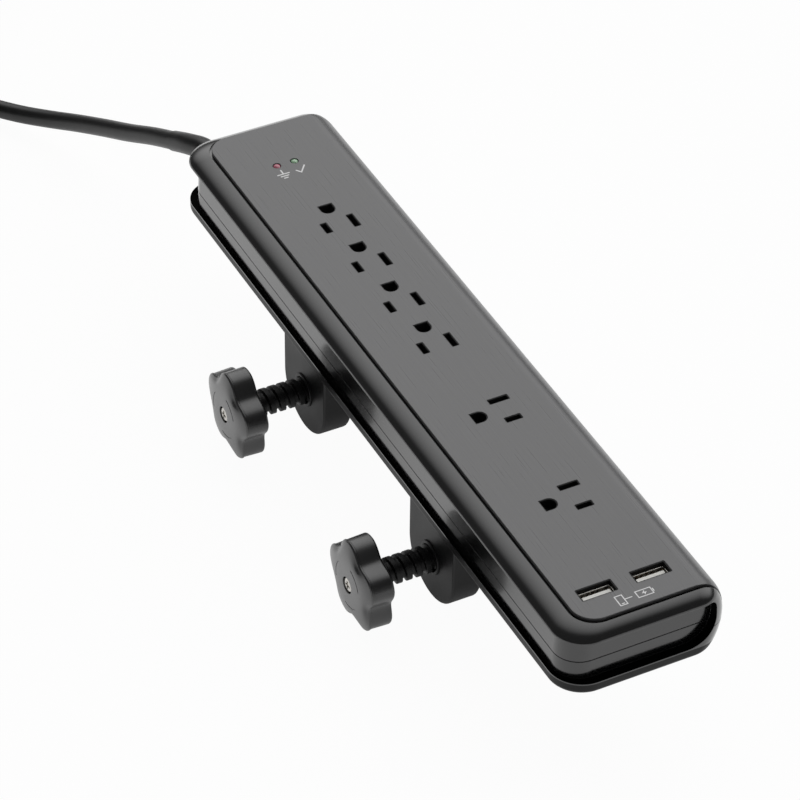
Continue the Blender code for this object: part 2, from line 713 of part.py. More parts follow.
def make_bus_bar(kind, bar_y, depth, gap):
    """One bus bar: a strip along the housing, an arm to each outlet and a clip on each arm."""
    own = [hole for hole in outlet_holes() if hole[0] == kind]
    first = min(hole[1] for hole in own) - BAR_OVERRUN
    last = max(hole[1] for hole in own) + BAR_OVERRUN
    half = BAR_WIDTH / 2
    bar = make_object(f"{kind}_bus_bar", box_mesh(kind, (
        (first, bar_y - half, -depth - BAR), (last, bar_y + half, -depth),
    )), BRASS)
    branches = []
    for _, x, y, along in own:
        reach = CLIP_LENGTH / 2 if along == "y" else gap / 2 + BAR
        low_y = min(bar_y, y - reach)
        high_y = max(bar_y, y + reach)
        branches.append(((x - half, low_y, -depth - BAR + ARM_INSET),
                         (x + half, high_y, -depth - ARM_INSET)))
        branches += clip_boxes(x, y, along, gap, depth)
    arms = make_cutter(f"{kind}_arms", box_mesh(f"{kind}_arms", *branches))
    combine(bar, arms, "UNION", tidy_overlaps=True)
    return bar


def make_boards():
    for name, xs, depth in (("surge_board", SURGE_BOARD_X, SURGE_BOARD_DEPTH),
                            ("usb_board", USB_BOARD_X, USB_BOARD_DEPTH)):
        make_object(name, box_mesh(name, (
            (xs[0], BOARD_Y[0], -depth - BOARD), (xs[1], BOARD_Y[1], -depth),
        )), BOARD_GREEN)
    middle = sum(SURGE_BOARD_X) / 2
    z = -SURGE_BOARD_DEPTH - BOARD - CLEARANCE - VARISTOR_DIAMETER / 2
    for i in range(VARISTORS):
        x = middle + VARISTOR_PITCH * (i - (VARISTORS - 1) / 2)
        half = VARISTOR_THICKNESS / 2
        make_object(f"varistor_{i + 1}", rod_mesh("varistor", (
            (x - half, 0.0, z), (x + half, 0.0, z), VARISTOR_DIAMETER / 2,
        )), VARISTOR_BLUE)


def make_lamps():
    for name, y, material in (("lamp_protected", LAMP_YS[0], LAMP_GREEN),
                              ("lamp_grounded", LAMP_YS[1], LAMP_RED)):
        radius = LAMP_DIAMETER / 2
        bottom = -SURGE_BOARD_DEPTH + CLEARANCE
        profile = [(0.0, LAMP_PROUD), (radius * LAMP_CROWN[0], LAMP_PROUD * LAMP_CROWN[1]),
                   (radius, -LAMP_PROUD), (radius, bottom), (0.0, bottom)]
        lamp = make_turned(name, profile, material, sides=SMALL_SIDES)
        lamp.location = (LAMP_X, y, 0.0)


def make_usb_ports():
    """Upright receptacles: a folded metal shell, open at the top, round a plastic tongue."""
    for i, y in enumerate(USB_CENTRES, start=1):
        half_x = USB_OPENING[0] / 2 - CLEARANCE
        half_y = USB_OPENING[1] / 2 - CLEARANCE
        top, bottom = -USB_SINK, -USB_SINK - USB_DEPTH
        shell = make_object(f"usb_shell_{i}", box_mesh("usb_shell", (
            (USB_X - half_x, y - half_y, bottom), (USB_X + half_x, y + half_y, top),
        )), NICKEL)
        inner = make_cutter(f"usb_mouth_{i}", box_mesh("usb_mouth", (
            (USB_X - half_x + USB_SHEET, y - half_y + USB_SHEET, bottom - OVERCUT),
            (USB_X + half_x - USB_SHEET, y + half_y - USB_SHEET, top + OVERCUT),
        )))
        combine(shell, inner, "DIFFERENCE")
        tongue_x = USB_X + USB_TONGUE_OFFSET
        base_x = half_x - USB_SHEET - CLEARANCE
        base_y = half_y - USB_SHEET - CLEARANCE
        tongue = make_object(f"usb_tongue_{i}", box_mesh("usb_tongue", (
            (USB_X - base_x, y - base_y, bottom), (USB_X + base_x, y + base_y, bottom + USB_BASE),
        )), TONGUE_WHITE)
        blade = make_cutter(f"usb_tongue_blade_{i}", box_mesh("usb_tongue_blade", (
            (tongue_x - USB_TONGUE[0] / 2, y - USB_TONGUE[1] / 2, bottom + USB_BASE / 2),
            (tongue_x + USB_TONGUE[0] / 2, y + USB_TONGUE[1] / 2, top + USB_TONGUE_RISE),
        )))
        combine(tongue, blade, "UNION")


def make_bracket(index, x):
    """A C-shaped clamp frame: base plate, bored screw jaw and fixed jaw with round ends."""
    outer, inner = -JAW_FRONT, -JAW_FRONT + JAW_THICKNESS
    fixed, back = FIXED_JAW_FACE, FIXED_JAW_FACE + FIXED_JAW_THICKNESS
    foot = -STAND_DEPTH - OVERCUT
    outline = [(outer, -BASE_TOP), (outer, foot), (inner, foot), (inner, -BASE_BOTTOM),
               (fixed, -BASE_BOTTOM), (fixed, foot), (back, foot), (back, -BASE_TOP)]
    wide = JAW_RADIUS + OVERCUT
    sides = [[(x + side * wide, y, z) for y, z in outline] for side in (-1, 1)]
    name = f"clamp_bracket_{index}"
    bracket = make_object(name, loft_mesh(name, sides), SATIN_BLACK)
    tongue = [(x + JAW_RADIUS, OVERCUT), (x - JAW_RADIUS, OVERCUT)]
    for i in range(JAW_STEPS + 1):
        angle = pi + pi * i / JAW_STEPS
        tongue.append((x + JAW_RADIUS * cos(angle), -JAW_END_DEPTH + JAW_RADIUS * sin(angle)))
    ends = [[(px, y, pz) for px, pz in tongue] for y in (outer - OVERCUT, back + OVERCUT)]
    combine(bracket, make_cutter(f"jaw_outline_{index}", loft_mesh("jaw_outline", ends)), "INTERSECT")
    rounding = bracket.modifiers.new("rounded edges", "BEVEL")
    rounding.width = JAW_ROUND
    rounding.segments = 2
    rounding.limit_method = "ANGLE"
    rounding.angle_limit = radians(40)
    bore = [((x, outer - OVERCUT, -AXIS_DEPTH), (x, inner + OVERCUT, -AXIS_DEPTH),
             SPINDLE_DIAMETER / 2 + CLEARANCE)]
    combine(bracket, make_cutter(f"jaw_bore_{index}", rod_mesh("jaw_bore", *bore)), "DIFFERENCE")
    holes = []
    for y in BASE_SCREW_YS:
        head = SCREW_SINK + SCREW_HEAD_HEIGHT + CLEARANCE
        holes.append(((x, y, -BASE_BOTTOM - OVERCUT), (x, y, -BASE_TOP + OVERCUT),
                      SCREW_DIAMETER / 2 + CLEARANCE, None, POST_SIDES))
        holes.append(((x, y, -BASE_BOTTOM - OVERCUT), (x, y, -BASE_BOTTOM + head),
                      SCREW_HEAD / 2 + CLEARANCE, None, POST_SIDES))
    plate_holes = make_cutter(f"base_screw_holes_{index}", rod_mesh("base_screw_holes", *holes))
    combine(bracket, plate_holes, "DIFFERENCE", tidy_overlaps=True)


def make_base_screws(index, x):
    for letter, y in zip("ab", BASE_SCREW_YS):
        seat = -BASE_BOTTOM + SCREW_SINK
        tip = -STRIP_HEIGHT + BASE_SCREW_REACH - CLEARANCE
        make_screw(f"bracket_screw_{index}{letter}", (x, y, seat), SCREW_HEAD_HEIGHT,
                   tip - seat, NICKEL)


def make_spindle(index, axis):
    """The clamp screw at its crest diameter: pad neck at one end, knob seat at the other."""
    crest, neck = SPINDLE_DIAMETER / 2, SPINDLE_NECK / 2
    shoulder = PAD_BACK - CLEARANCE
    tip = shoulder + NECK_LENGTH
    tail = KNOB_BACK - SPINDLE_SOCKET + CLEARANCE
    pilot = BOLT_DIAMETER / 2 + CLEARANCE
    pilot_end = KNOB_FRONT + BOLT_SINK + BOLT_HEAD_HEIGHT + BOLT_REACH + CLEARANCE
    profile = [(0.0, tip), (neck, tip), (neck, shoulder), (crest, shoulder), (crest, tail),
               (pilot, tail), (pilot, pilot_end), (0.0, pilot_end)]
    make_turned(f"clamp_screw_{index}", profile, SATIN_BLACK, axis)


def make_pad(index, axis):
    rim, hub = PAD_RADIUS, PAD_HUB / 2
    socket = SPINDLE_NECK / 2 + CLEARANCE
    socket_end = PAD_BACK + NECK_LENGTH
    disc_back = PAD_FRONT - PAD_DISC
    profile = [(0.0, PAD_FRONT), (rim, PAD_FRONT), (rim, disc_back), (hub, disc_back),
               (hub, PAD_BACK), (socket, PAD_BACK), (socket, socket_end), (0.0, socket_end)]
    make_turned(f"pressure_pad_{index}", profile, PAD_RUBBER, axis)


def knob_ring(setback, scale, lobing, notch_angle):
    """One ring of the knob: a circle drawn in by a notch between each two lobes."""
    ring = []
    count = LOBE_POINTS * KNOB_LOBES
    for i in range(count):
        angle = tau * i / count
        notch = ((1 + cos(KNOB_LOBES * (angle - notch_angle))) / 2) ** KNOB_NOTCH_SHARPNESS
        radius = scale * (KNOB_RADIUS - KNOB_NOTCH * lobing * notch)
        ring.append((radius * cos(angle), -radius * sin(angle), KNOB_FRONT + setback))
    return ring


def make_knob(index, axis, notch_angle):
    """A domed five-lobed knob with a bolt recess in front and a spindle socket behind."""
    rings = []
    for drop, scale, lobing in KNOB_STATIONS:
        rings.append(knob_ring(KNOB_DOME * drop, scale, lobing, notch_angle))
    rings.append(knob_ring(KNOB_LENGTH - KNOB_BACK_EDGE, 1.0, 1.0, notch_angle))
    rings.append(knob_ring(KNOB_LENGTH, KNOB_BACK_SCALE, 1.0, notch_angle))
    name = f"clamp_knob_{index}"
    knob = make_object(name, loft_mesh(name, rings), SATIN_BLACK, axis)
    recess = BOLT_HEAD / 2 + CLEARANCE
    recess_end = KNOB_FRONT + BOLT_SINK + BOLT_HEAD_HEIGHT + CLEARANCE
    hole = BOLT_DIAMETER / 2 + CLEARANCE
    socket = SPINDLE_DIAMETER / 2 + CLEARANCE
    socket_end = KNOB_BACK - SPINDLE_SOCKET
    profile = [(0.0, KNOB_BACK + OVERCUT), (socket, KNOB_BACK + OVERCUT), (socket, socket_end),
               (hole, socket_end), (hole, recess_end), (recess, recess_end),
               (recess, KNOB_FRONT - OVERCUT), (0.0, KNOB_FRONT - OVERCUT)]
    bore = turned(make_cutter(f"knob_bore_{index}", profile_mesh("knob_bore", profile), axis))
    combine(knob, bore, "DIFFERENCE")


def make_knob_bolt(index, axis):
    head, shank = BOLT_HEAD / 2, BOLT_DIAMETER / 2
    face = KNOB_FRONT + BOLT_SINK
    seat = face + BOLT_HEAD_HEIGHT
    profile = [(0.0, seat + BOLT_REACH), (shank, seat + BOLT_REACH), (shank, seat), (head, seat),
               (head, face + BOLT_HEAD_HEIGHT * HEAD_EDGE_SHARE), (head * HEAD_FACE_SHARE, face),
               (0.0, face)]
    make_turned(f"knob_bolt_{index}", profile, NICKEL, axis, sides=SMALL_SIDES)


def make_clamp(index, x, notch_angle):
    """One clamp; its screw, knob, bolt and pad hang on an empty on the screw's axis."""
    make_bracket(index, x)
    make_base_screws(index, x)
    axis = bpy.data.objects.new(f"clamp_axis_{index}", None)
    parts.objects.link(axis)
    axis.parent = strip_frame
    axis.location = (x, 0.0, -AXIS_DEPTH)
    axis.rotation_euler = (-pi / 2, 0.0, 0.0)
    make_spindle(index, axis)
    make_pad(index, axis)
    make_knob(index, axis, notch_angle)
    make_knob_bolt(index, axis)


def make_tube(name, points, radii, material, sides_level):
    """A round tube along a line of points, with its own radius at each and flat ends."""
    curve = bpy.data.curves.new(name, "CURVE")
    curve.dimensions = "3D"
    curve.bevel_depth = 1.0
    curve.bevel_resolution = sides_level
    curve.use_fill_caps = True
    line = curve.splines.new("POLY")
    line.points.add(len(points) - 1)
    for place, point, radius in zip(line.points, points, radii):
        place.co = (*point, 1.0)
        place.radius = radius
    line.use_smooth = True
    tube = bpy.data.objects.new(name, curve)
    parts.objects.link(tube)
    tube.parent = strip_frame
    curve.materials.append(material)
    return tube


def smooth_line(route, step):
    """A smooth curve through route points, walked in equal steps."""
    route = [Vector(point) for point in route]
    padded = [2 * route[0] - route[1], *route, 2 * route[-1] - route[-2]]
    fine = []
    for a, b, c, d in zip(padded, padded[1:], padded[2:], padded[3:]):
        for i in range(SPLINE_STEPS):
            t = i / SPLINE_STEPS
            fine.append((2 * b + (c - a) * t + (2 * a - 5 * b + 4 * c - d) * t * t
                         + (3 * b - a - 3 * c + d) * t ** 3) / 2)
    fine.append(route[-1])
    length = sum((q - p).length for p, q in zip(fine, fine[1:]))
    count = round(length / step)
    walked, done, due = [fine[0]], 0.0, length / count
    for p, q in zip(fine, fine[1:]):
        piece = (q - p).length
        while done + piece >= due and len(walked) < count:
            walked.append(p.lerp(q, (due - done) / piece))
            due += length / count
        done += piece
    walked.append(fine[-1])
    return walked


def ease(share):
    share = min(1.0, max(0.0, share))
    return share * share * (3 - 2 * share)


def coil_line():
    """The coil's line: in and out over its layers, a climb at each reversal, then to the plug."""
    layer_turns = COIL_TURNS / COIL_LAYERS
    widest = COIL_MEAN_RADIUS + COIL_PITCH * layer_turns / 2
    rest = CORD_REST + COIL_LIFT
    climb_start = COIL_TURNS - TAIL_CLIMB
    climb = plug_axis_height() - rest - COIL_PITCH * (COIL_LAYERS - 1)
    centre = Vector(COIL_CENTRE)
    line = [(centre.x + CORD_DIAMETER, centre.y - widest, rest)]
    for i in range(COIL_TURNS * LOOP_POINTS + 1):
        turns = i / LOOP_POINTS
        place = turns / layer_turns
        swing = abs((place + 1) % 2 - 1)
        radius = widest - COIL_PITCH * layer_turns * swing
        angle = -pi / 2 - tau * turns
        z = rest
        for reversal in range(1, COIL_LAYERS):
            z += COIL_PITCH * ease((turns - reversal * layer_turns) / LAYER_CLIMB + 0.5)
        z += climb * ease((turns - climb_start) / TAIL_CLIMB * (1 - TAIL_SHARE))
        line.append((centre.x + radius * cos(angle), centre.y + radius * sin(angle), z))
    tail_steps = LOOP_POINTS // 4
    for i in range(1, tail_steps + 1):
        angle = -pi / 2 - pi / 2 * i / tail_steps
        share = 1 - TAIL_SHARE + TAIL_SHARE * i / tail_steps
        line.append((centre.x + TAIL_RADIUS * cos(angle),
                     centre.y - widest + TAIL_RADIUS * (1 + sin(angle)),
                     line[0][2] + COIL_PITCH * (COIL_LAYERS - 1) + climb * ease(share)))
    end = Vector(line[-1])
    line.append(tuple(end + Vector((0.0, CORD_DIAMETER, 0.0))))
    return line


def plug_axis_height():
    top = CORD_REST + COIL_LIFT + COIL_PITCH * (COIL_LAYERS - 1) + CORD_RADIUS
    return top + PLUG_HEIGHT / 2 + 2 * CLEARANCE


def least_self_gap(line):
    """The least gap between passes of the tube, by points set close along its line."""
    dense, walked = [], 0.0
    for p, q in zip(line, line[1:]):
        p, q = Vector(p), Vector(q)
        for i in range(GAP_SAMPLES):
            share = i / GAP_SAMPLES
            dense.append((p.lerp(q, share), walked + (q - p).length * share))
        walked += (q - p).length
    least = 1.0
    for i, (p, at) in enumerate(dense):
        for q, further in dense[i + 1:]:
            if further - at > 4 * CORD_DIAMETER:
                least = min(least, (q - p).length_squared)
    return sqrt(least) - CORD_DIAMETER, walked


def make_cord():
    start, following = Vector(CORD_ROUTE[0]), Vector(CORD_ROUTE[1])
    heading = (following - start).normalized()
    level = -CORD_EXIT_DEPTH
    wall_in, wall_out = -RECESS_END + WALL + CLEARANCE, -RECESS_END - CLEARANCE
    inside = wall_in + RELIEF_FLANGE_LENGTH
    collar_end = wall_out - RELIEF_COLLAR_LENGTH
    sections = [
        ((inside, CORD_EXIT_Y, level), RELIEF_FLANGE),
        ((wall_in, CORD_EXIT_Y, level), RELIEF_FLANGE),
        ((wall_in - RELIEF_STEP_RUN, CORD_EXIT_Y, level), RELIEF_NECK),
        ((wall_out, CORD_EXIT_Y, level), RELIEF_NECK),
        ((wall_out - RELIEF_STEP_RUN, CORD_EXIT_Y, level), RELIEF_COLLAR),
        ((collar_end, CORD_EXIT_Y, level), RELIEF_COLLAR),
        ((collar_end - RELIEF_COLLAR_EDGE, CORD_EXIT_Y, level), RELIEF_SHOULDER),
    ]
    root, root_width = Vector(sections[-1][0]), sections[-1][1]
    bend = root + Vector((-RELIEF_STRAIGHT, 0.0, 0.0))
    neck = start - heading * RELIEF_STRAIGHT
    taper = smooth_line([root, bend, neck, start], RELIEF_STEP)[1:-2]
    taper += [neck + heading * RELIEF_STEP, start]
    for i, point in enumerate(taper, start=1):
        width = root_width + (RELIEF_TIP - root_width) * i / len(taper)
        sections.append((tuple(point), width))
    make_tube("strain_relief", [p for p, _ in sections], [w / 2 for _, w in sections],
              CORD_BLACK, 4)

    coil = coil_line()
    end = Vector(coil[0]) + Vector((CLEARANCE, 0.0, 0.0))
    before = end + Vector((CORD_DIAMETER * 1.5, 0.0, 0.0))
    lead = [start + heading * CLEARANCE, *CORD_ROUTE[1:], before, end]
    lead_line = smooth_line(lead, CORD_DIAMETER * 2)[:-1]
    lead_line = [point for point in lead_line if (point - before).length > CORD_DIAMETER]
    lead_line = [point for point in lead_line if point.x > before.x] + [before, end]
    lead_line.insert(1, lead_line[0] + heading * CORD_DIAMETER)
    make_tube("cord_lead", lead_line, [CORD_RADIUS] * len(lead_line), CORD_BLACK, 3)
    make_tube("cord_coil", coil, [CORD_RADIUS] * len(coil), CORD_BLACK, 1)
    gap, coil_length = least_self_gap(coil)
    lead_length = sum((Vector(q) - Vector(p)).length for p, q in zip(lead_line, lead_line[1:]))
    print(f"coil least gap {gap * 1000:.2f} mm, coil {coil_length:.3f} m, lead {lead_length:.3f} m")
    return Vector(coil[-1])


def make_tie():
    """A band round all the coil's passes at one place."""
    layer_turns = COIL_TURNS / COIL_LAYERS
    half_width = COIL_PITCH * layer_turns / 2 + CORD_RADIUS + TIE_SLACK
    bundle = COIL_PITCH * (COIL_LAYERS - 1) + CORD_DIAMETER
    half_height = bundle / 2 + TIE_SLACK
    rows = []
    for side in (-1, 1):
        for swell in (0.0, TIE_THICKNESS):
            ring = []
            for corner_x, corner_z, turn in ((1, 1, 0), (-1, 1, 1), (-1, -1, 2), (1, -1, 3)):
                for i in range(5):
                    angle = pi / 2 * (turn + i / 4)
                    radius = CORD_RADIUS / 2 + swell
                    ring.append((
                        corner_x * (half_width - CORD_RADIUS / 2) + radius * cos(angle),
                        side * TIE_WIDTH / 2,
                        corner_z * (half_height - CORD_RADIUS / 2) + radius * sin(angle),
                    ))
            rows.append(ring)
    bm = bmesh.new()
    loops = [[bm.verts.new(point) for point in row] for row in (rows[0], rows[1], rows[3], rows[2])]
    count = len(loops[0])
    for loop, after in zip(loops, loops[1:] + loops[:1]):
        for i in range(count):
            j = (i + 1) % count
            bm.faces.new((loop[i], loop[j], after[j], after[i]))
    tie = make_object("cord_tie", mesh_from("cord_tie", bm), SATIN_BLACK)
    out = Vector((cos(TIE_ANGLE), sin(TIE_ANGLE), 0.0)) * COIL_MEAN_RADIUS
    middle = CORD_REST + COIL_LIFT - CORD_RADIUS + bundle / 2
    tie.location = Vector((*COIL_CENTRE, middle)) + out
    tie.rotation_euler = (0.0, 0.0, TIE_ANGLE)


def plug_ring(along, half_width, half_height, squareness, origin):
    ring = []
    for i in range(ROUND_SIDES):
        angle = tau * i / ROUND_SIDES
        c, s = cos(angle), sin(angle)
        x = half_width * abs(c) ** (2 / squareness) * (1 if c >= 0 else -1)
        z = half_height * abs(s) ** (2 / squareness) * (1 if s >= 0 else -1)
        ring.append(tuple(origin + Vector((x, along, z))))
    return ring


def make_plug(cord_end):
    """A moulded three-pin plug that lies on the coil, at the end of the cord."""
    origin = cord_end + Vector((0.0, CLEARANCE, 0.0))
    tip, wide, tall = PLUG_NECK_TIP / 2, PLUG_WIDTH / 2, PLUG_HEIGHT / 2
    face = PLUG_NECK + PLUG_BODY
    waist = tip * PLUG_NECK_SWELL
    stations = [
        (0.0, tip, tip),
        (PLUG_NECK * PLUG_NECK_WAIST, waist, waist),
        (PLUG_NECK, wide * PLUG_ROOT_SHARE, tall * PLUG_ROOT_SHARE),
        (PLUG_NECK + PLUG_SHOULDER, wide, tall),
        (face - PLUG_EDGE, wide, tall),
        (face, wide - PLUG_EDGE, tall - PLUG_EDGE),
    ]
    rings = [plug_ring(*station, square, origin) for station, square in zip(stations, PLUG_SQUARENESS)]
    body = make_object("plug_body", loft_mesh("plug_body", rings), CORD_BLACK)
    fit = Vector((CLEARANCE, CLEARANCE, CLEARANCE))
    sockets = []
    for name, side, width in (("plug_hot_blade", -1, BLADE_WIDTH),
                              ("plug_neutral_blade", 1, NEUTRAL_BLADE_WIDTH)):
        middle = origin + Vector((side * BLADE_SPACING / 2, face, BLADE_RISE))
        half = Vector((BLADE_THICKNESS / 2, 0.0, width / 2))
        low = middle - half - Vector((0.0, PIN_ROOT, 0.0))
        high = middle + half + Vector((0.0, BLADE_LENGTH, 0.0))
        make_object(name, box_mesh(name, (low, high)), BRASS)
        sockets.append((low - fit, high + fit))
    combine(body, make_cutter("blade_sockets", box_mesh("blade_sockets", *sockets)), "DIFFERENCE")
    root = origin + Vector((0.0, face - PIN_ROOT, BLADE_RISE - GROUND_OFFSET))
    end = root + Vector((0.0, PIN_ROOT + PIN_LENGTH, 0.0))
    pin = rod_mesh("plug_ground_pin", (root, end, PIN_DIAMETER / 2, None, SMALL_SIDES))
    make_object("plug_ground_pin", pin, BRASS)
    along = Vector((0.0, CLEARANCE, 0.0))
    socket = rod_mesh("pin_socket", (
        root - along, end, PIN_DIAMETER / 2 + CLEARANCE, None, SMALL_SIDES,
    ))
    combine(body, make_cutter("pin_socket", socket), "DIFFERENCE")


recess, hollow, pocket, openings, cord_hole = make_housing_cutters()
make_top_shell(recess, hollow, pocket, openings, cord_hole)
make_bottom_shell(recess, hollow, cord_hole)
make_face_plate(openings)
make_housing_screws()
make_bus_bar("hot", -BAR_OFFSET, BAR_DEPTH, CLIP_GAP)
make_bus_bar("neutral", BAR_OFFSET, BAR_DEPTH, CLIP_GAP)
make_bus_bar("ground", 0.0, GROUND_BAR_DEPTH, GROUND_CLIP_GAP)
make_boards()
make_lamps()
make_usb_ports()
for index, (x, notch_angle) in enumerate(zip(CLAMP_XS, KNOB_TURNS), start=1):
    make_clamp(index, x, notch_angle)
cord_end = make_cord()
make_tie()
make_plug(cord_end)
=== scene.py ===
"""Looks of the desk-clamp power strip: moulded shells, brushed face plate, threaded clamps
and the mains cord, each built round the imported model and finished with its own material.

Pieces are drawn in the strip's own frame: X along the strip, Y from the knobs to the spine,
zero at the top of the face plate on the outlets' centre line.
"""
from functools import partial
from math import cos, pi, radians, sin, sqrt, tau

import bmesh
import bpy
from mathutils import Matrix, Vector


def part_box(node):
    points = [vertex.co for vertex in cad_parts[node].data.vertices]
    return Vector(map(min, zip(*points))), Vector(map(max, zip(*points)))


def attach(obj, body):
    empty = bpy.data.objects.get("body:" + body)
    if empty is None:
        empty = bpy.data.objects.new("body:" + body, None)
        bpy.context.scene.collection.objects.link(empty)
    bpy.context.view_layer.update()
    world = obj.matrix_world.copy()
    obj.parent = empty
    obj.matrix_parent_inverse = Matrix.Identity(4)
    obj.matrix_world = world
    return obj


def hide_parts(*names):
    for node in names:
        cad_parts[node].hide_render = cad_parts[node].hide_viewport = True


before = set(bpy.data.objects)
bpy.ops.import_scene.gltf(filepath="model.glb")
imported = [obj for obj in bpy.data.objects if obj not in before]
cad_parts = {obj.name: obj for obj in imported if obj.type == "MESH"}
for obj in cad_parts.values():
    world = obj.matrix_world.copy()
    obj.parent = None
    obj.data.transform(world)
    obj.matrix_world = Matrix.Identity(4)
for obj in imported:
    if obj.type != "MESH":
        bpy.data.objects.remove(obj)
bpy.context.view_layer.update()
scene = bpy.context.scene
MM = 0.001

# Working allowances: a fit between parts, a hair's breadth and a tool's overrun
FIT = 0.3 * MM
HAIR = 0.05 * MM
PAST = 5.0 * MM

# The strip's main sizes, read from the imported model
top_low, top_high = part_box("top_shell")
base_low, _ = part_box("bottom_shell")
plate_low, plate_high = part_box("face_plate")
_, jaw_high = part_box("clamp_bracket_1")
JAW_BACK = 33.0 * MM
SPINE_EDGE = 34.6 * MM
ORIGIN = Vector((0.0, jaw_high.y - JAW_BACK, plate_high.z))
END = top_high.x
FRONT_EDGE = ORIGIN.y - top_low.y
STRIP_HEIGHT = ORIGIN.z - base_low.z
UPPER_DEPTH = ORIGIN.z - top_low.z
LOWER_TOP = UPPER_DEPTH + FIT
PLATE_END = plate_high.x
PLATE_FRONT = ORIGIN.y - plate_low.y

# The housing's form
COVER_DEPTH = 5.7 * MM
FLANGE_DEPTH = 5.6 * MM
LIP_LINE = 0.6 * MM
SPINE_BULGE = 7.4 * MM
SPINE_TOP_BULGE = 12.0 * MM
FOOT_ROUND = 2.5 * MM
CORNER_FRONT = 14.0 * MM
CORNER_SPINE = 10.6 * MM
RECESS_END = END - 6.1 * MM
RECESS_FRONT = FRONT_EDGE - 3.2 * MM
RECESS_CORNER = 10.0 * MM
FRONT_DRAFT = 1.4 * MM
END_DRAFT = 2.3 * MM
RECESS_SPINE_CORNER = 1.5 * MM
RECESS_MOUTH = SPINE_EDGE - 6.6 * MM
WALL = 2.4 * MM
ROOF_DEPTH = 4.2 * MM
FLOOR_DEPTH = STRIP_HEIGHT - 3.0 * MM
HOLLOW_SPINE = SPINE_EDGE - 8.0 * MM
HOLLOW_CORNER = 5.0 * MM
PLATE_CORNER = 9.5 * MM
PLATE_THICKNESS = 1.6 * MM
POCKET_DEPTH = 1.9 * MM
GROOVE = 1.1 * MM
COVER_SINK = 1.1 * MM
ROLL_START = radians(55)
ROLL_CROWDING = 1.2
FRONT_ROLL = FRONT_EDGE - PLATE_FRONT - GROOVE
END_ROLL = END - PLATE_END - GROOVE
CHANNEL_TOP_ROUND = 3.5 * MM
CHANNEL_FOOT_ROUND = 12.5 * MM
CHANNEL_FLOOR = -STRIP_HEIGHT + FLANGE_DEPTH
PLATE_EDGE = 0.3 * MM
LEVEL_NORMAL = 0.9
INWARD_NORMAL = 0.3

# Outlets, by the plug standard they take
BLADE_SPACING = 12.7 * MM
GROUND_OFFSET = 11.9 * MM
SLOT_WIDTH = 3.1 * MM
NEUTRAL_SLOT = 9.0 * MM
HOT_SLOT = 7.3 * MM
GROUND_HOLE = 6.6 * MM
GROUND_FLAT = 3.1 * MM
OPENING_CORNER = 0.4 * MM
SLOT_EDGE = 0.2 * MM
LINER = 0.35 * MM
LINER_TOP = 0.25 * MM
LINER_BOTTOM = 5.0 * MM
LENGTHWISE_XS = [-END + 83.9 * MM + 29.7 * MM * i for i in range(4)]
CROSSWISE_XS = (END - 129.0 * MM, END - 71.3 * MM)
CROSSWISE_BLADE_Y = 5.85 * MM

# USB ports, with (inset, depth) points down the tongue's tip, and lamps, in shares of the radius
USB_X = END - 20.8 * MM
USB_CENTRES = (-13.5 * MM, 9.8 * MM)
USB_OPENING = (6.5 * MM, 15.2 * MM)
USB_EDGE = 0.3 * MM
USB_SHEET = 0.4 * MM
USB_FLARE = 0.32 * MM
USB_TOP = -2.4 * MM
USB_BOTTOM = USB_TOP - 11.9 * MM
USB_FLOOR = USB_BOTTOM + 2.0 * MM
TONGUE_SIZE = (2.1 * MM, 12.2 * MM)
TONGUE_X = USB_X + 0.5 * MM
TONGUE_TOP = USB_TOP + 0.4 * MM
TONGUE_CORNER = 0.15 * MM
TONGUE_TIP = ((0.3 * MM, 0.0), (0.08 * MM, 0.12 * MM), (0.0, 0.35 * MM))
CONTACT_PLACES = (-1.5, -0.5, 0.5, 1.5)
CONTACT_PITCH = 2.3 * MM
CONTACT_WIDTH = 1.0 * MM
CONTACT_PROUD = 0.12 * MM
CONTACT_TOP = TONGUE_TOP - 0.6 * MM
CONTACT_EDGE = 0.05 * MM
LAMP_X = -END + 34.9 * MM
LAMP_YS = (2.2 * MM, -6.1 * MM)
LAMP_RADIUS = 1.5 * MM
LAMP_PROUD = 0.3 * MM
LAMP_DOME = 2.5
LAMP_SHARES = (0.05, 0.3, 0.55, 0.75, 0.9, 1.0)
LAMP_BOTTOM = -9.7 * MM

# Printed symbols: places on the plate, then each symbol's lines in millimetres
INK = 0.02 * MM
INK_TRACE = 0.0002 * MM
INK_LINE = 0.45
SYMBOL_OFFSET = 7.0 * MM
LAMP_SYMBOL = 1.45
PORT_SYMBOL_X = USB_X + 9.0 * MM
PHONE_Y = -8.0 * MM
BATTERY_Y = 2.0 * MM
TICK = (((-1.5, 0.2), (-0.5, -1.2), (1.7, 1.6)),)
GROUND = (
    ((0.0, 2.2), (0.0, 0.2)),
    ((-1.8, 0.2), (1.8, 0.2)),
    ((-1.15, -0.8), (1.15, -0.8)),
    ((-0.5, -1.8), (0.5, -1.8)),
)
PHONE = (
    ((-1.5, 2.6), (1.5, 2.6), (1.5, -2.6), (-1.5, -2.6), (-1.5, 2.6)),
    ((-0.4, -1.8), (0.4, -1.8)),
    ((1.9, 0.0), (4.6, 0.0)),
)
BATTERY = (
    ((-3.2, 1.7), (3.2, 1.7), (3.2, -1.7), (-3.2, -1.7), (-3.2, 1.7)),
    ((3.8, 0.6), (3.8, -0.6)),
)
BOLT = ((0.4, 1.3), (-1.1, -0.2), (-0.1, -0.2), (-0.4, -1.3), (1.1, 0.2), (0.1, 0.2))

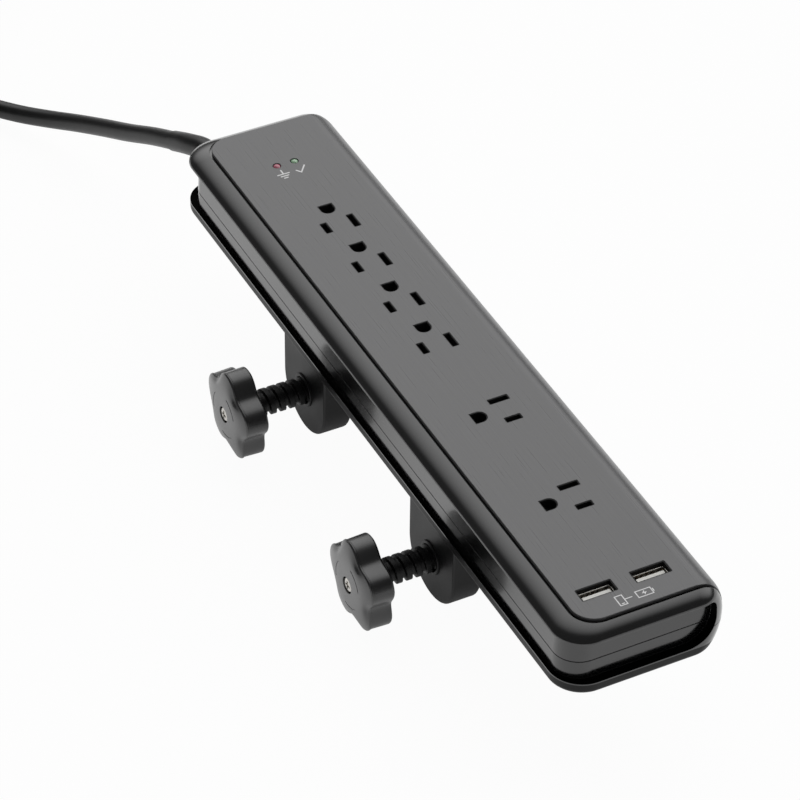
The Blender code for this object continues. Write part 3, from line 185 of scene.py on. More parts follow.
# Screws; heads, threads and drives in shares of the radius and the height
POST_XS = (-END + 67.1 * MM, 15.0 * MM, END - 43.1 * MM)
POST_YS = (-RECESS_FRONT + WALL + 6.2 * MM, SPINE_EDGE - 13.1 * MM)
POSTS = [(x, y) for x in POST_XS for y in POST_YS]
POST_RADIUS = 4.0 * MM
SCREW_HEAD = 3.1 * MM
SCREW_HEAD_HEIGHT = 2.2 * MM
SCREW_RADIUS = 1.5 * MM
SCREW_SINK = 0.8 * MM
SCREW_DRIVE = (1.15, 0.75)
COVER_SCREW_REACH = STRIP_HEIGHT - SCREW_SINK - 10.0 * MM
FRAME_SCREW_REACH = 11.2 * MM
WELL_DEPTH = 3.3 * MM
THREAD_FINE = 1.0 * MM
THREAD_ROOT = 0.8
SCREW_TIP = 0.6
HEAD_FLAT = 0.62
HEAD_MIDDLE = 0.2
CROSS_ARM = 1 / 7
CROSS_CORE = 1 / 8
CROSS_CORNER = 1 / 20
CROSS_TAPER = 0.62
CROSS_CORE_DEPTH = 0.9

# Clamps
CLAMP_XS = (-58.35 * MM, 58.35 * MM)
JAW_RADIUS = 19.5 * MM
JAW_FRONT = 33.0 * MM
JAW_THICKNESS = 13.0 * MM
JAW_ROUND = 1.3 * MM
JAW_END_DEPTH = 54.5 * MM
AXIS_DEPTH = 54.0 * MM
STAND_DEPTH = JAW_END_DEPTH + JAW_RADIUS
FIXED_JAW_FACE = 26.0 * MM
BASE_TOP = STRIP_HEIGHT + FIT
BASE_BOTTOM = BASE_TOP + 5.0 * MM
BASE_SCREW_YS = (-8.0 * MM, 14.0 * MM)
SPINDLE_RADIUS = 5.9 * MM
SPINDLE_ENTRY = 4.7 * MM
SHOULDER_SLOPE = 1.2
BORE_RADIUS = SPINDLE_RADIUS + FIT
BORE_EDGE = 0.6 * MM
THREAD_PITCH = 4.4 * MM
THREAD_DEPTH = 1.5 * MM
THREAD_FLANK = (0.05, 0.5)
THREAD_STEP = 0.2 * MM
COLLAR_RADIUS = 7.5 * MM
COLLAR_HEIGHT = 0.8 * MM
COLLAR_EDGE = 0.48 * MM
NECK_RADIUS = 3.5 * MM
NECK_LENGTH = 2.8 * MM

# Pressure pad; the groove's points are (inward, deep) from each ring's outer edge
PAD_RADIUS = 13.0 * MM
PAD_HUB = 6.5 * MM
PAD_HUB_SHARE = 0.6
PAD_BACK = -JAW_FRONT + JAW_THICKNESS + 1.8 * MM
PAD_DISC = PAD_BACK + 3.0 * MM
PAD_FACE = PAD_BACK + 6.0 * MM
PAD_HUB_EDGE = 0.4 * MM
PAD_EDGE = 0.6 * MM
PAD_FACE_EDGE = 0.8 * MM
PAD_RING_PITCH = 2.4 * MM
PAD_RING_RADII = [PAD_RADIUS - 2.2 * MM - PAD_RING_PITCH * i for i in range(4)]
PAD_GROOVE = ((0.0, 0.0), (0.3 * MM, 0.7 * MM), (0.9 * MM, 0.7 * MM), (1.2 * MM, 0.0))

# Knob; the overhang's points are (down, in) in steps under the cap's rim
KNOB_RADIUS = 19.8 * MM
KNOB_LENGTH = 12.3 * MM
KNOB_LOBES = 5
KNOB_POINTS = 120
KNOB_NOTCH = 4.2 * MM
KNOB_NOTCH_SHARPNESS = 1.4
KNOB_LOBING = (0.55, 0.43)
KNOB_MIDDLE = 0.15
KNOB_DROP = 2.2 * MM
KNOB_PILLOW = 4.0
KNOB_EDGE = 0.5 * MM
KNOB_STEP = 0.3 * MM
KNOB_OVERHANG = ((1.0, 0.3), (1.5, 1.4), (2.4, 1.0))
KNOB_BACK_EDGE = 1.1 * MM
KNOB_MARK_RADIUS = 10.2 * MM
KNOB_MARK = 0.28 * MM
KNOB_MARK_STARTS = (radians(20), radians(140), radians(260))
KNOB_MARK_SPAN = radians(55)
KNOB_TURNS = (radians(55), radians(64))
KNOB_BACK = -JAW_FRONT - 25.0 * MM
KNOB_FRONT = KNOB_BACK - KNOB_LENGTH
KNOB_SOCKET = 5.0 * MM
KNOB_SMOOTH = radians(40)
BOLT_HEAD = 3.3 * MM
BOLT_HEAD_HEIGHT = 1.6 * MM
BOLT_RADIUS = 2.0 * MM
BOLT_REACH = 14.0 * MM
BOLT_SINK = 0.2 * MM
BOLT_DRIVE = (1.24, 0.7)

# Mains cord, its strain relief, coil and tie
CORD_DIAMETER = 8.4 * MM
CORD_EXIT = Vector((0.0, -20.0 * MM, -16.0 * MM))
CORD_REST = -STAND_DEPTH + CORD_DIAMETER / 2
CORD_STEP = 5.0 * MM
CORD_ROUNDNESS = 5
COIL_ENTRY = 1.5 * CORD_DIAMETER
RELIEF_NECK = 10.2 * MM
RELIEF_FLANGE = 13.8 * MM
RELIEF_FLANGE_THICKNESS = 2.0 * MM
RELIEF_COLLAR = 11.4 * MM
RELIEF_COLLAR_LENGTH = 3.0 * MM
RELIEF_SHOULDER = 10.3 * MM
RELIEF_TIP = 9.2 * MM
RELIEF_EDGE = 0.6 * MM
RELIEF_COLLAR_EDGE = 0.4 * MM
RELIEF_STRAIGHT = 12.0 * MM
RELIEF_STEP = 2.0 * MM
RELIEF_SIDES = 40
LEAD_SKIP = 4
COIL_CENTRE = Vector((-0.4650, -0.0660))
COIL_MEAN_RADIUS = 46.5 * MM
COIL_LAYERS = 4
COIL_TURNS = 7
LAYER_TURNS = COIL_TURNS / COIL_LAYERS
COIL_PITCH = 9.2 * MM
COIL_RISE = COIL_PITCH * (COIL_LAYERS - 1)
COIL_LIFT = 1.8 * MM
COIL_REST = CORD_REST + COIL_LIFT
LOOP_POINTS = 48
LAYER_CLIMB = 0.5
PLUG_CLIMB = 0.25
TAIL_RADIUS = 37.0 * MM
TAIL_SHARE = 0.4
TIE_WIDTH = 10.0 * MM
TIE_THICKNESS = 1.0 * MM
TIE_EDGE = 0.25 * MM
TIE_FLAT = 0.95
TIE_SLACK = 0.4 * MM
TIE_ANGLE = radians(50)

# Plug; ribs and grips are (along, scale) and (along, inset), blade tips (back, inset)
PLUG_WIDTH = 27.0 * MM
PLUG_HEIGHT = 25.0 * MM
PLUG_AXIS = COIL_REST + COIL_RISE + CORD_DIAMETER / 2 + PLUG_HEIGHT / 2 + 2 * FIT
PLUG_BODY = 30.0 * MM
PLUG_NECK = 24.0 * MM
PLUG_NECK_TIP = 5.5 * MM
PLUG_NECK_SWELL = 0.25
PLUG_RIBS = 6
PLUG_RIBBED = 0.62 * PLUG_NECK
PLUG_RIB = ((0.0, 1.0), (0.55, 1.0), (0.62, 0.86), (0.92, 0.86))
PLUG_SHOULDER = 6.0 * MM
PLUG_ROUND = 2.0
PLUG_SQUARING = 1.4
PLUG_GRIPS = 5
PLUG_GRIP_START = PLUG_NECK + PLUG_SHOULDER + 2.0 * MM
PLUG_GRIP_PITCH = 3.0 * MM
PLUG_GRIP = ((0.0, 0.0), (0.6 * MM, 0.5 * MM), (1.4 * MM, 0.5 * MM), (2.0 * MM, 0.0))
PLUG_GRIP_SQUARE = 3.5
PLUG_FACE_SQUARE = 3.6
PLUG_EDGE = 1.8 * MM
BLADE_WIDTHS = {"hot": 6.3 * MM, "neutral": 7.9 * MM}
BLADE_THICKNESS = 1.5 * MM
BLADE_LENGTH = 18.0 * MM
BLADE_TIP = ((1.5 * MM, 0.0), (0.4 * MM, 0.35 * MM), (0.0, 0.55 * MM))
BLADE_TIP_THINNING = 0.7
BLADE_EYE = 1.5 * MM
BLADE_EYE_BACK = 4.5 * MM
BLADE_RISE = 4.0 * MM
PIN_RADIUS = 2.4 * MM
PIN_LENGTH = 20.0 * MM
PIN_ROOT = 6.0 * MM

# The cord's route from the strain relief's tip to the coil, as points that it passes
CORD_ROUTE = [Vector(point) for point in (
    (-0.2065, -0.0250, -0.0240),
    (-0.2225, -0.0283, -0.0308),
    (-0.2410, -0.0325, -0.0395),
    (-0.2600, -0.0372, -0.0475),
    (-0.2780, -0.0428, -0.0548),
    (-0.2950, -0.0500, -0.0612),
    (-0.3120, -0.0592, -0.0660),
    (-0.3300, -0.0706, -0.0684),
    (-0.3500, -0.0836, -0.0694),
    (-0.3720, -0.0968, -0.0697),
    (-0.3980, -0.1100, -0.0691),
    (-0.4220, -0.1180, -0.0683),
)]

# How finely curves and edges are drawn, and the angles past which an edge is bevelled or stays sharp
CORNER_STEPS = 16
ROLL_STEPS = 14
SIDE_STEPS = 6
SKIN_STEPS = 12
ARC_STEPS = 24
JAW_STEPS = 40
CAP_STEPS = 17
SMALL_STEPS = 8
ROUTE_STEPS = 20
ROUND_SIDES = 48
SCREW_SIDES = 32
BOLT_SIDES = 40
POST_SIDES = 20
MARK_SIDES = 12
PLUG_SIDES = 56
EDGE_STEPS = 3
FINE_EDGE_STEPS = 5
BEVEL_STEPS = 4
BEVEL_ANGLE = radians(40)
SMOOTH = radians(32)
EDGE_SAMPLES = 6

# What is done to a blank: a Boolean with a tool, or a bevel along its edges
CUT = "DIFFERENCE"
JOIN = "UNION"
KEEP = "INTERSECT"
ROUND_OFF = "BEVEL"

# The photograph's viewpoint
CAMERA_PLACE = ORIGIN + Vector((1.02273, -0.54620, 0.94113))
CAMERA_VIEW = Vector((-0.68147, 0.35225, -0.64150))
CAMERA_ROLL = radians(0.765)
CAMERA_LENS_MM = 166.31
CAMERA_SENSOR_MM = 36.0

# The studio: how much of the floor's look is its own white, to the eye and in reflections,
# and a light tent that is bright round one direction, from its skyline up, and dim elsewhere
FLOOR_RADIUS = 12.0
FLOOR_SIDES = 96
FLOOR_GLOW = 0.96
MIRRORED_GLOW = 0.92
SHADOW_REACH = 70 * MM
SHADOW_SAMPLES = 8
TENT_LEVEL = 1.85
TENT_DIM = 0.07
TENT_EDGE = (0.45, 0.88)
TENT_LEAN = (-0.50, 0.62, 0.60)
TENT_SKYLINE = (0.12, 0.45)


def linear(hex_colour):
    """A linear colour from an sRGB hex value."""
    levels = [int(hex_colour[i:i + 2], 16) / 255 for i in (1, 3, 5)]
    curve = [v / 12.92 if v <= 0.04045 else ((v + 0.055) / 1.055) ** 2.4 for v in levels]
    return (*curve, 1.0)


def feed(tree, socket, value):
    """A shader input set to a value, or linked to another node's output."""
    if isinstance(value, bpy.types.NodeSocket):
        tree.links.new(value, socket)
    else:
        socket.default_value = value


def add(tree, kind, settings=None, *ordered, **named):
    """One shader node with its settings, and its inputs fed in order or by name."""
    node = tree.nodes.new("ShaderNode" + kind)
    for name, value in (settings or {}).items():
        setattr(node, name, value)
    for socket, value in zip(node.inputs, ordered):
        feed(tree, socket, value)
    for name, value in named.items():
        feed(tree, node.inputs[name.replace("_", " ")], value)
    return node


def new_finish(name, colour, **sockets):
    """A material with its Principled shader, and the constants set on the shader's sockets."""
    finish = bpy.data.materials.new(name)
    finish.use_nodes = True
    shader = finish.node_tree.nodes["Principled BSDF"]
    shader.inputs["Base Color"].default_value = linear(colour)
    for socket, value in sockets.items():
        shader.inputs[socket.replace("_", " ")].default_value = value
    return finish, finish.node_tree, shader


def mottle(tree, size, detail, stretch=None):
    """A mottled pattern of a real size; a stretch below 1 draws it out into lines along an axis."""
    place = add(tree, "TexCoord").outputs["Object"]
    if stretch:
        place = add(tree, "Mapping", Vector=place, Scale=stretch).outputs["Vector"]
    return add(tree, "TexNoise", Vector=place, Scale=1 / size, Detail=detail).outputs["Fac"]


def vary(tree, shader, factor, tones, rough=None, spread=0.5):
    """Colour between two hex tones, and roughness over a range, by a pattern's value."""
    ramp = add(tree, "ValToRGB", Fac=factor)
    for stop, side, tone in zip(ramp.color_ramp.elements, (-spread, spread), tones):
        stop.position = 0.5 + side
        stop.color = linear(tone)
    feed(tree, shader.inputs["Base Color"], ramp.outputs["Color"])
    if rough:
        span = add(tree, "MapRange", Value=factor, To_Min=rough[0], To_Max=rough[1])
        feed(tree, shader.inputs["Roughness"], span.outputs["Result"])


def relief(tree, shader, height, depth, strength, edge=0.0):
    """Surface relief from a pattern, with its depth in metres, over edges eased by a radius."""
    bump = add(tree, "Bump", Height=height, Distance=depth, Strength=strength)
    if edge:
        eased = add(tree, "Bevel", {"samples": EDGE_SAMPLES}, Radius=edge)
        feed(tree, bump.inputs["Normal"], eased.outputs["Normal"])
    feed(tree, shader.inputs["Normal"], bump.outputs["Normal"])


def finish_gloss_abs():
    """ABS moulded in a polished tool: deep black, sharp reflections, a faint orange-peel swell."""
    finish, tree, shader = new_finish("gloss black ABS", "#0c0c0d", IOR=1.54, Coat_Weight=0.7,
                                      Coat_Roughness=0.1)
    vary(tree, shader, mottle(tree, 18 * MM, 5.0), ("#0a0a0b", "#101011"), (0.14, 0.22))
    relief(tree, shader, mottle(tree, 2.2 * MM, 1.0), 0.01 * MM, 0.05, edge=0.4 * MM)
    return finish


def finish_brushed_plate():
    """Charcoal ABS with fine lines drawn along the strip, which spread its sheen across them.

    Real lines are about 0.1 mm apart; they are drawn 0.55 mm apart so that they show.
    """
    finish, tree, shader = new_finish("brushed charcoal ABS", "#515152", IOR=1.58)
    lines = mottle(tree, 0.55 * MM, 3.0, stretch=(1 / 60, 1.0, 1.0))
    vary(tree, shader, lines, ("#4b4b4c", "#575758"), (0.24, 0.34), spread=0.3)
    relief(tree, shader, lines, 0.02 * MM, 0.04)
    return finish


def finish_nylon():
    """Glass-filled nylon from a spark-eroded tool: charcoal black with a fine even grain.

    The real grain is about 0.15 mm; it is drawn at 0.35 mm so that it shows.
    """
    finish, tree, shader = new_finish("satin black nylon", "#1c1c1d", IOR=1.55, Coat_Weight=0.7,
                                      Coat_Roughness=0.28)
    vary(tree, shader, mottle(tree, 9 * MM, 4.0), ("#141415", "#1c1c1d"), (0.30, 0.42))
    relief(tree, shader, mottle(tree, 0.35 * MM, 2.0), 0.05 * MM, 0.3)
    return finish


def finish_bracket():
    """Black nylon on the clamp frames and threads, matt from a blasted tool."""
    finish, tree, shader = new_finish("matt black nylon", "#121213", IOR=1.40)
    vary(tree, shader, mottle(tree, 14 * MM, 4.0), ("#0f0f10", "#171718"), (0.34, 0.50))
    relief(tree, shader, mottle(tree, 1.6 * MM, 1.0), 0.03 * MM, 0.25)
    return finish


def finish_pvc():
    """Extruded PVC sheath: black with a soft sheen and a faint matt drag from the die."""
    finish, tree, shader = new_finish("black PVC", "#0e0e0f", IOR=1.48)
    drag = mottle(tree, 3 * MM, 6.0)
    vary(tree, shader, drag, ("#0b0b0c", "#131314"), (0.28, 0.44))
    relief(tree, shader, drag, 0.04 * MM, 0.3)
    return finish


def finish_rubber():
    """Moulded rubber: dead black, matt, with a pebbled skin."""
    finish, tree, shader = new_finish("black rubber", "#161616", IOR=1.52)
    place = add(tree, "TexCoord").outputs["Object"]
    pebble = add(tree, "TexVoronoi", Vector=place, Scale=1 / (0.7 * MM)).outputs["Distance"]
    vary(tree, shader, pebble, ("#111111", "#1d1d1d"), (0.70, 0.85))
    relief(tree, shader, pebble, 0.08 * MM, 0.5)
    return finish


def finish_metal(name, tones, rough):
    """Plated or bare metal with fine drawing lines, rubbed unevenly."""
    finish, tree, shader = new_finish(name, tones[1], Metallic=1.0)
    lines = mottle(tree, 0.3 * MM, 4.0, stretch=(1.0, 1.0, 0.1))
    vary(tree, shader, lines, tones, rough)
    relief(tree, shader, lines, 0.01 * MM, 0.2)
    return finish


def finish_moulding(name, dark, light, roughness, **sockets):
    """A small plain moulding or coating, with a faint mottle."""
    finish, tree, shader = new_finish(name, light, Roughness=roughness, **sockets)
    flecks = mottle(tree, 1.5 * MM, 3.0)
    vary(tree, shader, flecks, (dark, light))
    relief(tree, shader, flecks, 0.02 * MM, 0.2)
    return finish


GLOSS_ABS = finish_gloss_abs()
BRUSHED_PLATE = finish_brushed_plate()
NYLON = finish_nylon()
BRACKET_NYLON = finish_bracket()
PVC = finish_pvc()
RUBBER = finish_rubber()

# Drawn steel under nickel plate, a bright warm grey, and rolled brass, yellow with soft lines
NICKEL = finish_metal("nickel-plated steel", ("#b9b6b0", "#dad7d1"), (0.18, 0.34))
BRASS = finish_metal("brass", ("#b08a45", "#d0a95f"), (0.22, 0.38))

# Coatings: solder mask cured on a board, even and a little shiny, and epoxy from a dip, shinier
CIRCUIT_BOARD = finish_moulding("green solder mask", "#0d3a20", "#14502c", 0.35)
EPOXY = finish_moulding("blue dipped epoxy", "#14357a", "#1d4698", 0.32)

# PBT from a smooth tool, milky white, and pad-printed ink, thin and matt
PBT = finish_moulding("white PBT", "#d9d8d2", "#ecebe6", 0.38)
WHITE_INK = finish_moulding("white pad-print ink", "#dcdcdc", "#f2f2f2", 0.45)

# Black ABS carrying painted shade: near-black and matt in the liners behind the plate, dead black with no
# sheen on the channel's floor and round end, and with less sheen on the lip's low side
SHUTTER_SHADE = finish_moulding("matt black ABS with painted shade", "#020202", "#040404", 0.7)
CHANNEL_SHADE = finish_moulding("black ABS with painted channel shade", "#020202", "#040404", 0.6, Specular_IOR_Level=0.02)
LIP_SHADE = finish_moulding("black ABS with painted lip shade", "#0a0a0b", "#0e0e0f", 0.4, Specular_IOR_Level=0.22)

# Tinted polycarbonate from a polished tool: pale and shiny, as its lamp is off
GREEN_LENS = finish_moulding("green polycarbonate", "#7fae84", "#b3d3b4", 0.22, Coat_Weight=0.5)
RED_LENS = finish_moulding("red polycarbonate", "#ad4a61", "#d48596", 0.22, Coat_Weight=0.5)


def placed(name, data):
    """An object in the scene that shows a mesh, a curve or a camera."""
    thing = bpy.data.objects.new(name, data)
    scene.collection.objects.link(thing)
    return thing


def add_piece(name, mesh, finish, body="strip", stands_for=(), at=(0.0, 0.0, 0.0)):
    """A visible piece in the strip's frame, riding on a body and standing for CAD nodes."""
    piece = placed(name, mesh)
    piece.location = ORIGIN + Vector(at)
    piece.data.materials.clear()
    piece.data.materials.append(finish)
    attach(piece, body)
    if stands_for:
        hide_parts(*stands_for)
    return piece


def to_mesh(name, bm):
    bmesh.ops.recalc_face_normals(bm, faces=bm.faces)
    mesh = bpy.data.meshes.new(name)
    bm.to_mesh(mesh)
    bm.free()
    mesh.shade_smooth()
    mesh.set_sharp_from_angle(angle=SMOOTH)
    return mesh


def baked(blank, tools=()):
    """The mesh that an object's modifiers make; the object and its tools are then removed."""
    bpy.context.view_layer.update()
    seen = blank.evaluated_get(bpy.context.evaluated_depsgraph_get())
    result = bpy.data.meshes.new_from_object(seen)
    for thing in (blank, *tools):
        bpy.data.objects.remove(thing)
    return result


def cuts(*tools):
    return [(CUT, tool) for tool in tools]


def worked(mesh, *steps, smooth=SMOOTH):
    """A mesh after its steps: (Boolean operation, tool mesh) or (ROUND_OFF, width)."""
    blank = placed("blank", mesh)
    tools = []
    for kind, value in steps:
        if kind == ROUND_OFF:
            rounding = blank.modifiers.new(kind, kind)
            rounding.width = value
            rounding.segments = BEVEL_STEPS
            rounding.limit_method = "ANGLE"
            rounding.angle_limit = BEVEL_ANGLE
            continue
        tool = placed("tool", value)
        tools.append(tool)
        step = blank.modifiers.new(kind, "BOOLEAN")
        step.operation = kind
        step.object = tool
        step.use_self = kind == JOIN
    result = baked(blank, tools)
    stale = result.attributes.get("custom_normal")
    if stale:
        result.attributes.remove(stale)
    result.shade_smooth()
    result.set_sharp_from_angle(angle=smooth)
    return even_normals(result)


def even_normals(mesh):
    """The same mesh with its normals weighted by face area, so that flats stay flat."""
    blank = placed("blank", mesh)
    weigh = blank.modifiers.new("weigh", "WEIGHTED_NORMAL")
    weigh.keep_sharp = True
    return baked(blank)


def add_loft(bm, rings, sleeve=False):
    """A skin over rings of equal length: capped at both ends, or closed on itself as a sleeve."""
    rows = [[bm.verts.new(point) for point in ring] for ring in rings]
    count = len(rows[0])
    following = rows[1:] + rows[:1] if sleeve else rows[1:]
    for row, after in zip(rows, following):
        for i in range(count):
            j = (i + 1) % count
            bm.faces.new((row[i], row[j], after[j], after[i]))
    if not sleeve:
        bm.faces.new(rows[0])
        bm.faces.new(rows[-1])


def loft_mesh(rings, sleeve=False):
    bm = bmesh.new()
    add_loft(bm, rings, sleeve)
    return to_mesh("loft", bm)


def box_mesh(*boxes):
    """Boxes, each from its low corner to its high corner."""
    bm = bmesh.new()
    for low, high in boxes:
        low, high = Vector(low), Vector(high)
        place = Matrix.Translation((low + high) / 2) @ Matrix.Diagonal((*(high - low), 1.0))
        bmesh.ops.create_cube(bm, size=1.0, matrix=place)
    return to_mesh("boxes", bm)


def rod_mesh(start, end, radius, sides=ROUND_SIDES):
    start, end = Vector(start), Vector(end)
    turn = (end - start).to_track_quat("Z", "Y").to_matrix().to_4x4()
    bm = bmesh.new()
    bmesh.ops.create_cone(
        bm, cap_ends=True, segments=sides, radius1=radius, radius2=radius,
        depth=(end - start).length, matrix=Matrix.Translation((start + end) / 2) @ turn,
    )
    return to_mesh("rod", bm)


def ease(share):
    """A smooth step from 0 to 1."""
    share = min(1.0, max(0.0, share))
    return share * share * (3 - 2 * share)


def sweep(start, span, steps):
    """Values from a start over a span, in equal steps with both ends."""
    return [start + span * i / steps for i in range(steps + 1)]


def circle(sides):
    return [tau * i / sides for i in range(sides)]


def ring_y(x, z, y, radius, sides=ROUND_SIDES):
    return [(x + radius * cos(a), y, z + radius * sin(a)) for a in circle(sides)]


def ring_z(x, y, z, radius, sides=ROUND_SIDES):
    return [(x + radius * cos(a), y + radius * sin(a), z) for a in circle(sides)]


def turned(x, profile, sides=ROUND_SIDES, sleeve=False):
    """A shape turned about a clamp's axis, from (radius, y) points."""
    return loft_mesh([ring_y(x, -AXIS_DEPTH, y, radius, sides) for radius, y in profile], sleeve)


def rounded_edge(width, steps=EDGE_STEPS):
    """Pairs of (growth, depth) down a rounded edge, from the flat face to the wall."""
    return [(width * (1 - sin(a)), width * (1 - cos(a))) for a in sweep(0.0, pi / 2, steps)]


def plan_ring(end, front, spine, front_corner, spine_corner, z, steps=CORNER_STEPS):
    """A rounded rectangle in plan, with one radius by the knobs and one by the spine."""
    corners = (
        (end, spine, spine_corner, 0.0),
        (-end, spine, spine_corner, pi / 2),
        (-end, -front, front_corner, pi),
        (end, -front, front_corner, 3 * pi / 2),
    )
    ring = []
    for x, y, radius, start in corners:
        middle_x = x - radius * (1 if x > 0 else -1)
        middle_y = y - radius * (1 if y > 0 else -1)
        for angle in sweep(start, pi / 2, steps):
            ring.append((middle_x + radius * cos(angle), middle_y + radius * sin(angle), z))
    return ring


def slot_ring(x, y, half_x, half_y, corner, z):
    ring = plan_ring(half_x, half_y, half_y, corner, corner, z, EDGE_STEPS)
    return [(x + px, y + py, pz) for px, py, pz in ring]


def spine_inset(depth, skin=0.0):
    """How far the spine has curved in at a depth, under a skin; its upper half is the rounder."""
    rise = STRIP_HEIGHT / 2 - skin
    share = min(1.0, abs(depth - STRIP_HEIGHT / 2) / rise)
    bulge = SPINE_TOP_BULGE if depth < STRIP_HEIGHT / 2 else SPINE_BULGE
    return skin + (bulge - skin) * (1 - sqrt(1 - share * share))


def housing_ring(depth, roll=0.0, foot=0.0):
    """The housing's outline at a depth; roll and foot run from 0 on the side to 1 on the flat."""
    end = END - END_ROLL * roll - FOOT_ROUND * foot
    front = FRONT_EDGE - FRONT_ROLL * roll - FOOT_ROUND * foot
    tuck = (CORNER_FRONT - PLATE_CORNER - GROOVE) * roll + FOOT_ROUND * foot
    return plan_ring(
        end, front, SPINE_EDGE - spine_inset(depth), CORNER_FRONT - tuck,
        CORNER_SPINE - END_ROLL * roll - FOOT_ROUND * foot, -depth,
    )


def upper_rings(top, start):
    """The upper shell from its top down a rolled edge, which leaves the top at an angle."""
    rings = []
    for share in sweep(0.0, 1.0, ROLL_STEPS):
        angle = start + (pi / 2 - start) * share ** ROLL_CROWDING
        depth = top + (COVER_DEPTH - top) * (1 - cos(angle) / cos(start))
        rings.append(housing_ring(depth, (1 - sin(angle)) / (1 - sin(start))))
    side = sweep(COVER_DEPTH, UPPER_DEPTH - COVER_DEPTH, SIDE_STEPS)
    return rings + [housing_ring(depth) for depth in side[1:]]


def lower_rings():
    """The lower shell from the parting line down to its rounded foot."""
    side = sweep(LOWER_TOP, STRIP_HEIGHT - FOOT_ROUND - LOWER_TOP, SIDE_STEPS)[:-1]
    side.append(STRIP_HEIGHT - FLANGE_DEPTH + LIP_LINE)
    rings = [housing_ring(depth) for depth in sorted(side)]
    for a in sweep(0.0, pi / 2, ROLL_STEPS):
        rings.append(housing_ring(STRIP_HEIGHT - FOOT_ROUND * (1 - sin(a)), foot=1 - cos(a)))
    return rings


def under_skin_mesh(skin):
    """The housing's volume under a skin on its top and its spine."""
    rings = []
    for share in sweep(0.0, 1.0, SKIN_STEPS):
        depth = skin + (UPPER_DEPTH + PAST - skin) * share ** 2
        rings.append(plan_ring(END - skin, FRONT_EDGE, SPINE_EDGE - spine_inset(depth, skin),
                               CORNER_FRONT, CORNER_SPINE - skin, -depth))
    return loft_mesh(rings)


def core_ring(z, spread):
    """The channel's inner wall, spread to its foot by a mould's draft, but not at the cord's end."""
    shift = END_DRAFT * spread / 2
    draft = FRONT_DRAFT * spread
    ring = plan_ring(RECESS_END + shift, RECESS_FRONT + draft, SPINE_EDGE, RECESS_CORNER + draft,
                     RECESS_SPINE_CORNER, z)
    return [(x + shift, y, z) for x, y, z in ring]


def recess_mesh():
    """The channel round the front and both ends, with round corners inside the spine."""
    floor, roof = CHANNEL_FLOOR, -COVER_DEPTH
    section = [(-FRONT_EDGE - PAST, floor), (-FRONT_EDGE - PAST, roof)]
    for radius, middle, start in ((CHANNEL_TOP_ROUND, roof - CHANNEL_TOP_ROUND, pi / 2),
                                  (CHANNEL_FOOT_ROUND, floor + CHANNEL_FOOT_ROUND, 0.0)):
        for angle in sweep(start, -pi / 2, ROLL_STEPS):
            section.append((RECESS_MOUTH - radius * (1 - cos(angle)), middle + radius * sin(angle)))
    slab = loft_mesh([[(x, y, z) for y, z in section] for x in (-END - PAST, END + PAST)])
    levels = ((PAST, 0), (roof, 0), (floor, 1), (-STRIP_HEIGHT - PAST, 1))
    return worked(slab, (CUT, loft_mesh([core_ring(z, spread) for z, spread in levels])))


def paint_channel_shade(piece):
    """Painted shade: the channel's floor and round end turn dead black with no sheen, and the lip's low
    side takes less sheen.
    """
    piece.data.materials.append(CHANNEL_SHADE)
    piece.data.materials.append(LIP_SHADE)
    floor = CHANNEL_FLOOR
    for face in piece.data.polygons:
        x, y, z = face.center
        _, facing, up = face.normal
        on_floor = abs(z - floor) < HAIR and up > LEVEL_NORMAL
        at_end = abs(x) > RECESS_END - HAIR and floor - HAIR < z < -COVER_DEPTH - HAIR
        inward = facing < -INWARD_NORMAL or (up > INWARD_NORMAL and facing < HAIR)
        on_curve = at_end and y > RECESS_MOUTH - CHANNEL_FOOT_ROUND and inward
        outside = abs(x) > END - FOOT_ROUND - HAIR or y < -FRONT_EDGE + FOOT_ROUND + HAIR
        corner = abs(x) > END - CORNER_FRONT and y < -FRONT_EDGE + CORNER_FRONT
        low = z < floor - LIP_LINE and up > -LEVEL_NORMAL
        # Painted shade: the channel's floor and its round end by the spine turn dead black, with no sheen
        if on_floor or on_curve:
            face.material_index = 1
        # Painted shade: the lip's low outer side by the front and the corners takes less sheen, to darken
        # it
        elif (outside or corner) and low and y < RECESS_MOUTH:
            face.material_index = 2


def hollow_mesh():
    """The space inside the shells."""
    return loft_mesh([plan_ring(RECESS_END - WALL, RECESS_FRONT - WALL, HOLLOW_SPINE, HOLLOW_CORNER,
                                HOLLOW_CORNER, z) for z in (-ROOF_DEPTH, -FLOOR_DEPTH)])


def cord_hole_mesh():
    return rod_mesh((-END - PAST, CORD_EXIT.y, CORD_EXIT.z),
                    (-RECESS_END + WALL + PAST, CORD_EXIT.y, CORD_EXIT.z), RELIEF_NECK / 2 + FIT)


def screw_well(x, y, bottom):
    """The hole for a screw's head, as a tool."""
    return rod_mesh((x, y, bottom - PAST), (x, y, bottom + WELL_DEPTH), SCREW_HEAD + FIT, SCREW_SIDES)


def ground_outline(ground, growth, z):
    """A hole's outline, round towards the blades and square on the side away from them."""
    x, y, turn = ground
    radius = GROUND_HOLE / 2 + growth
    flat = GROUND_FLAT + growth
    outline = [(-flat, radius), (-flat, -radius)]
    outline += [(radius * cos(a), radius * sin(a)) for a in sweep(-pi / 2, pi, ARC_STEPS)]
    c, s = cos(turn), sin(turn)
    return [(x + c * px - s * py, y + s * px + c * py, z) for px, py in outline]


def slot_outline(slot, growth, z):
    x, y, half_x, half_y = slot
    return slot_ring(x, y, half_x + growth, half_y + growth, OPENING_CORNER + growth, z)


def lamp_outline(y, growth, z):
    return ring_z(LAMP_X, y, z, LAMP_RADIUS + FIT + growth)


def usb_outlines():
    return [partial(slot_outline, (USB_X, y, USB_OPENING[0] / 2, USB_OPENING[1] / 2)) for y in USB_CENTRES]


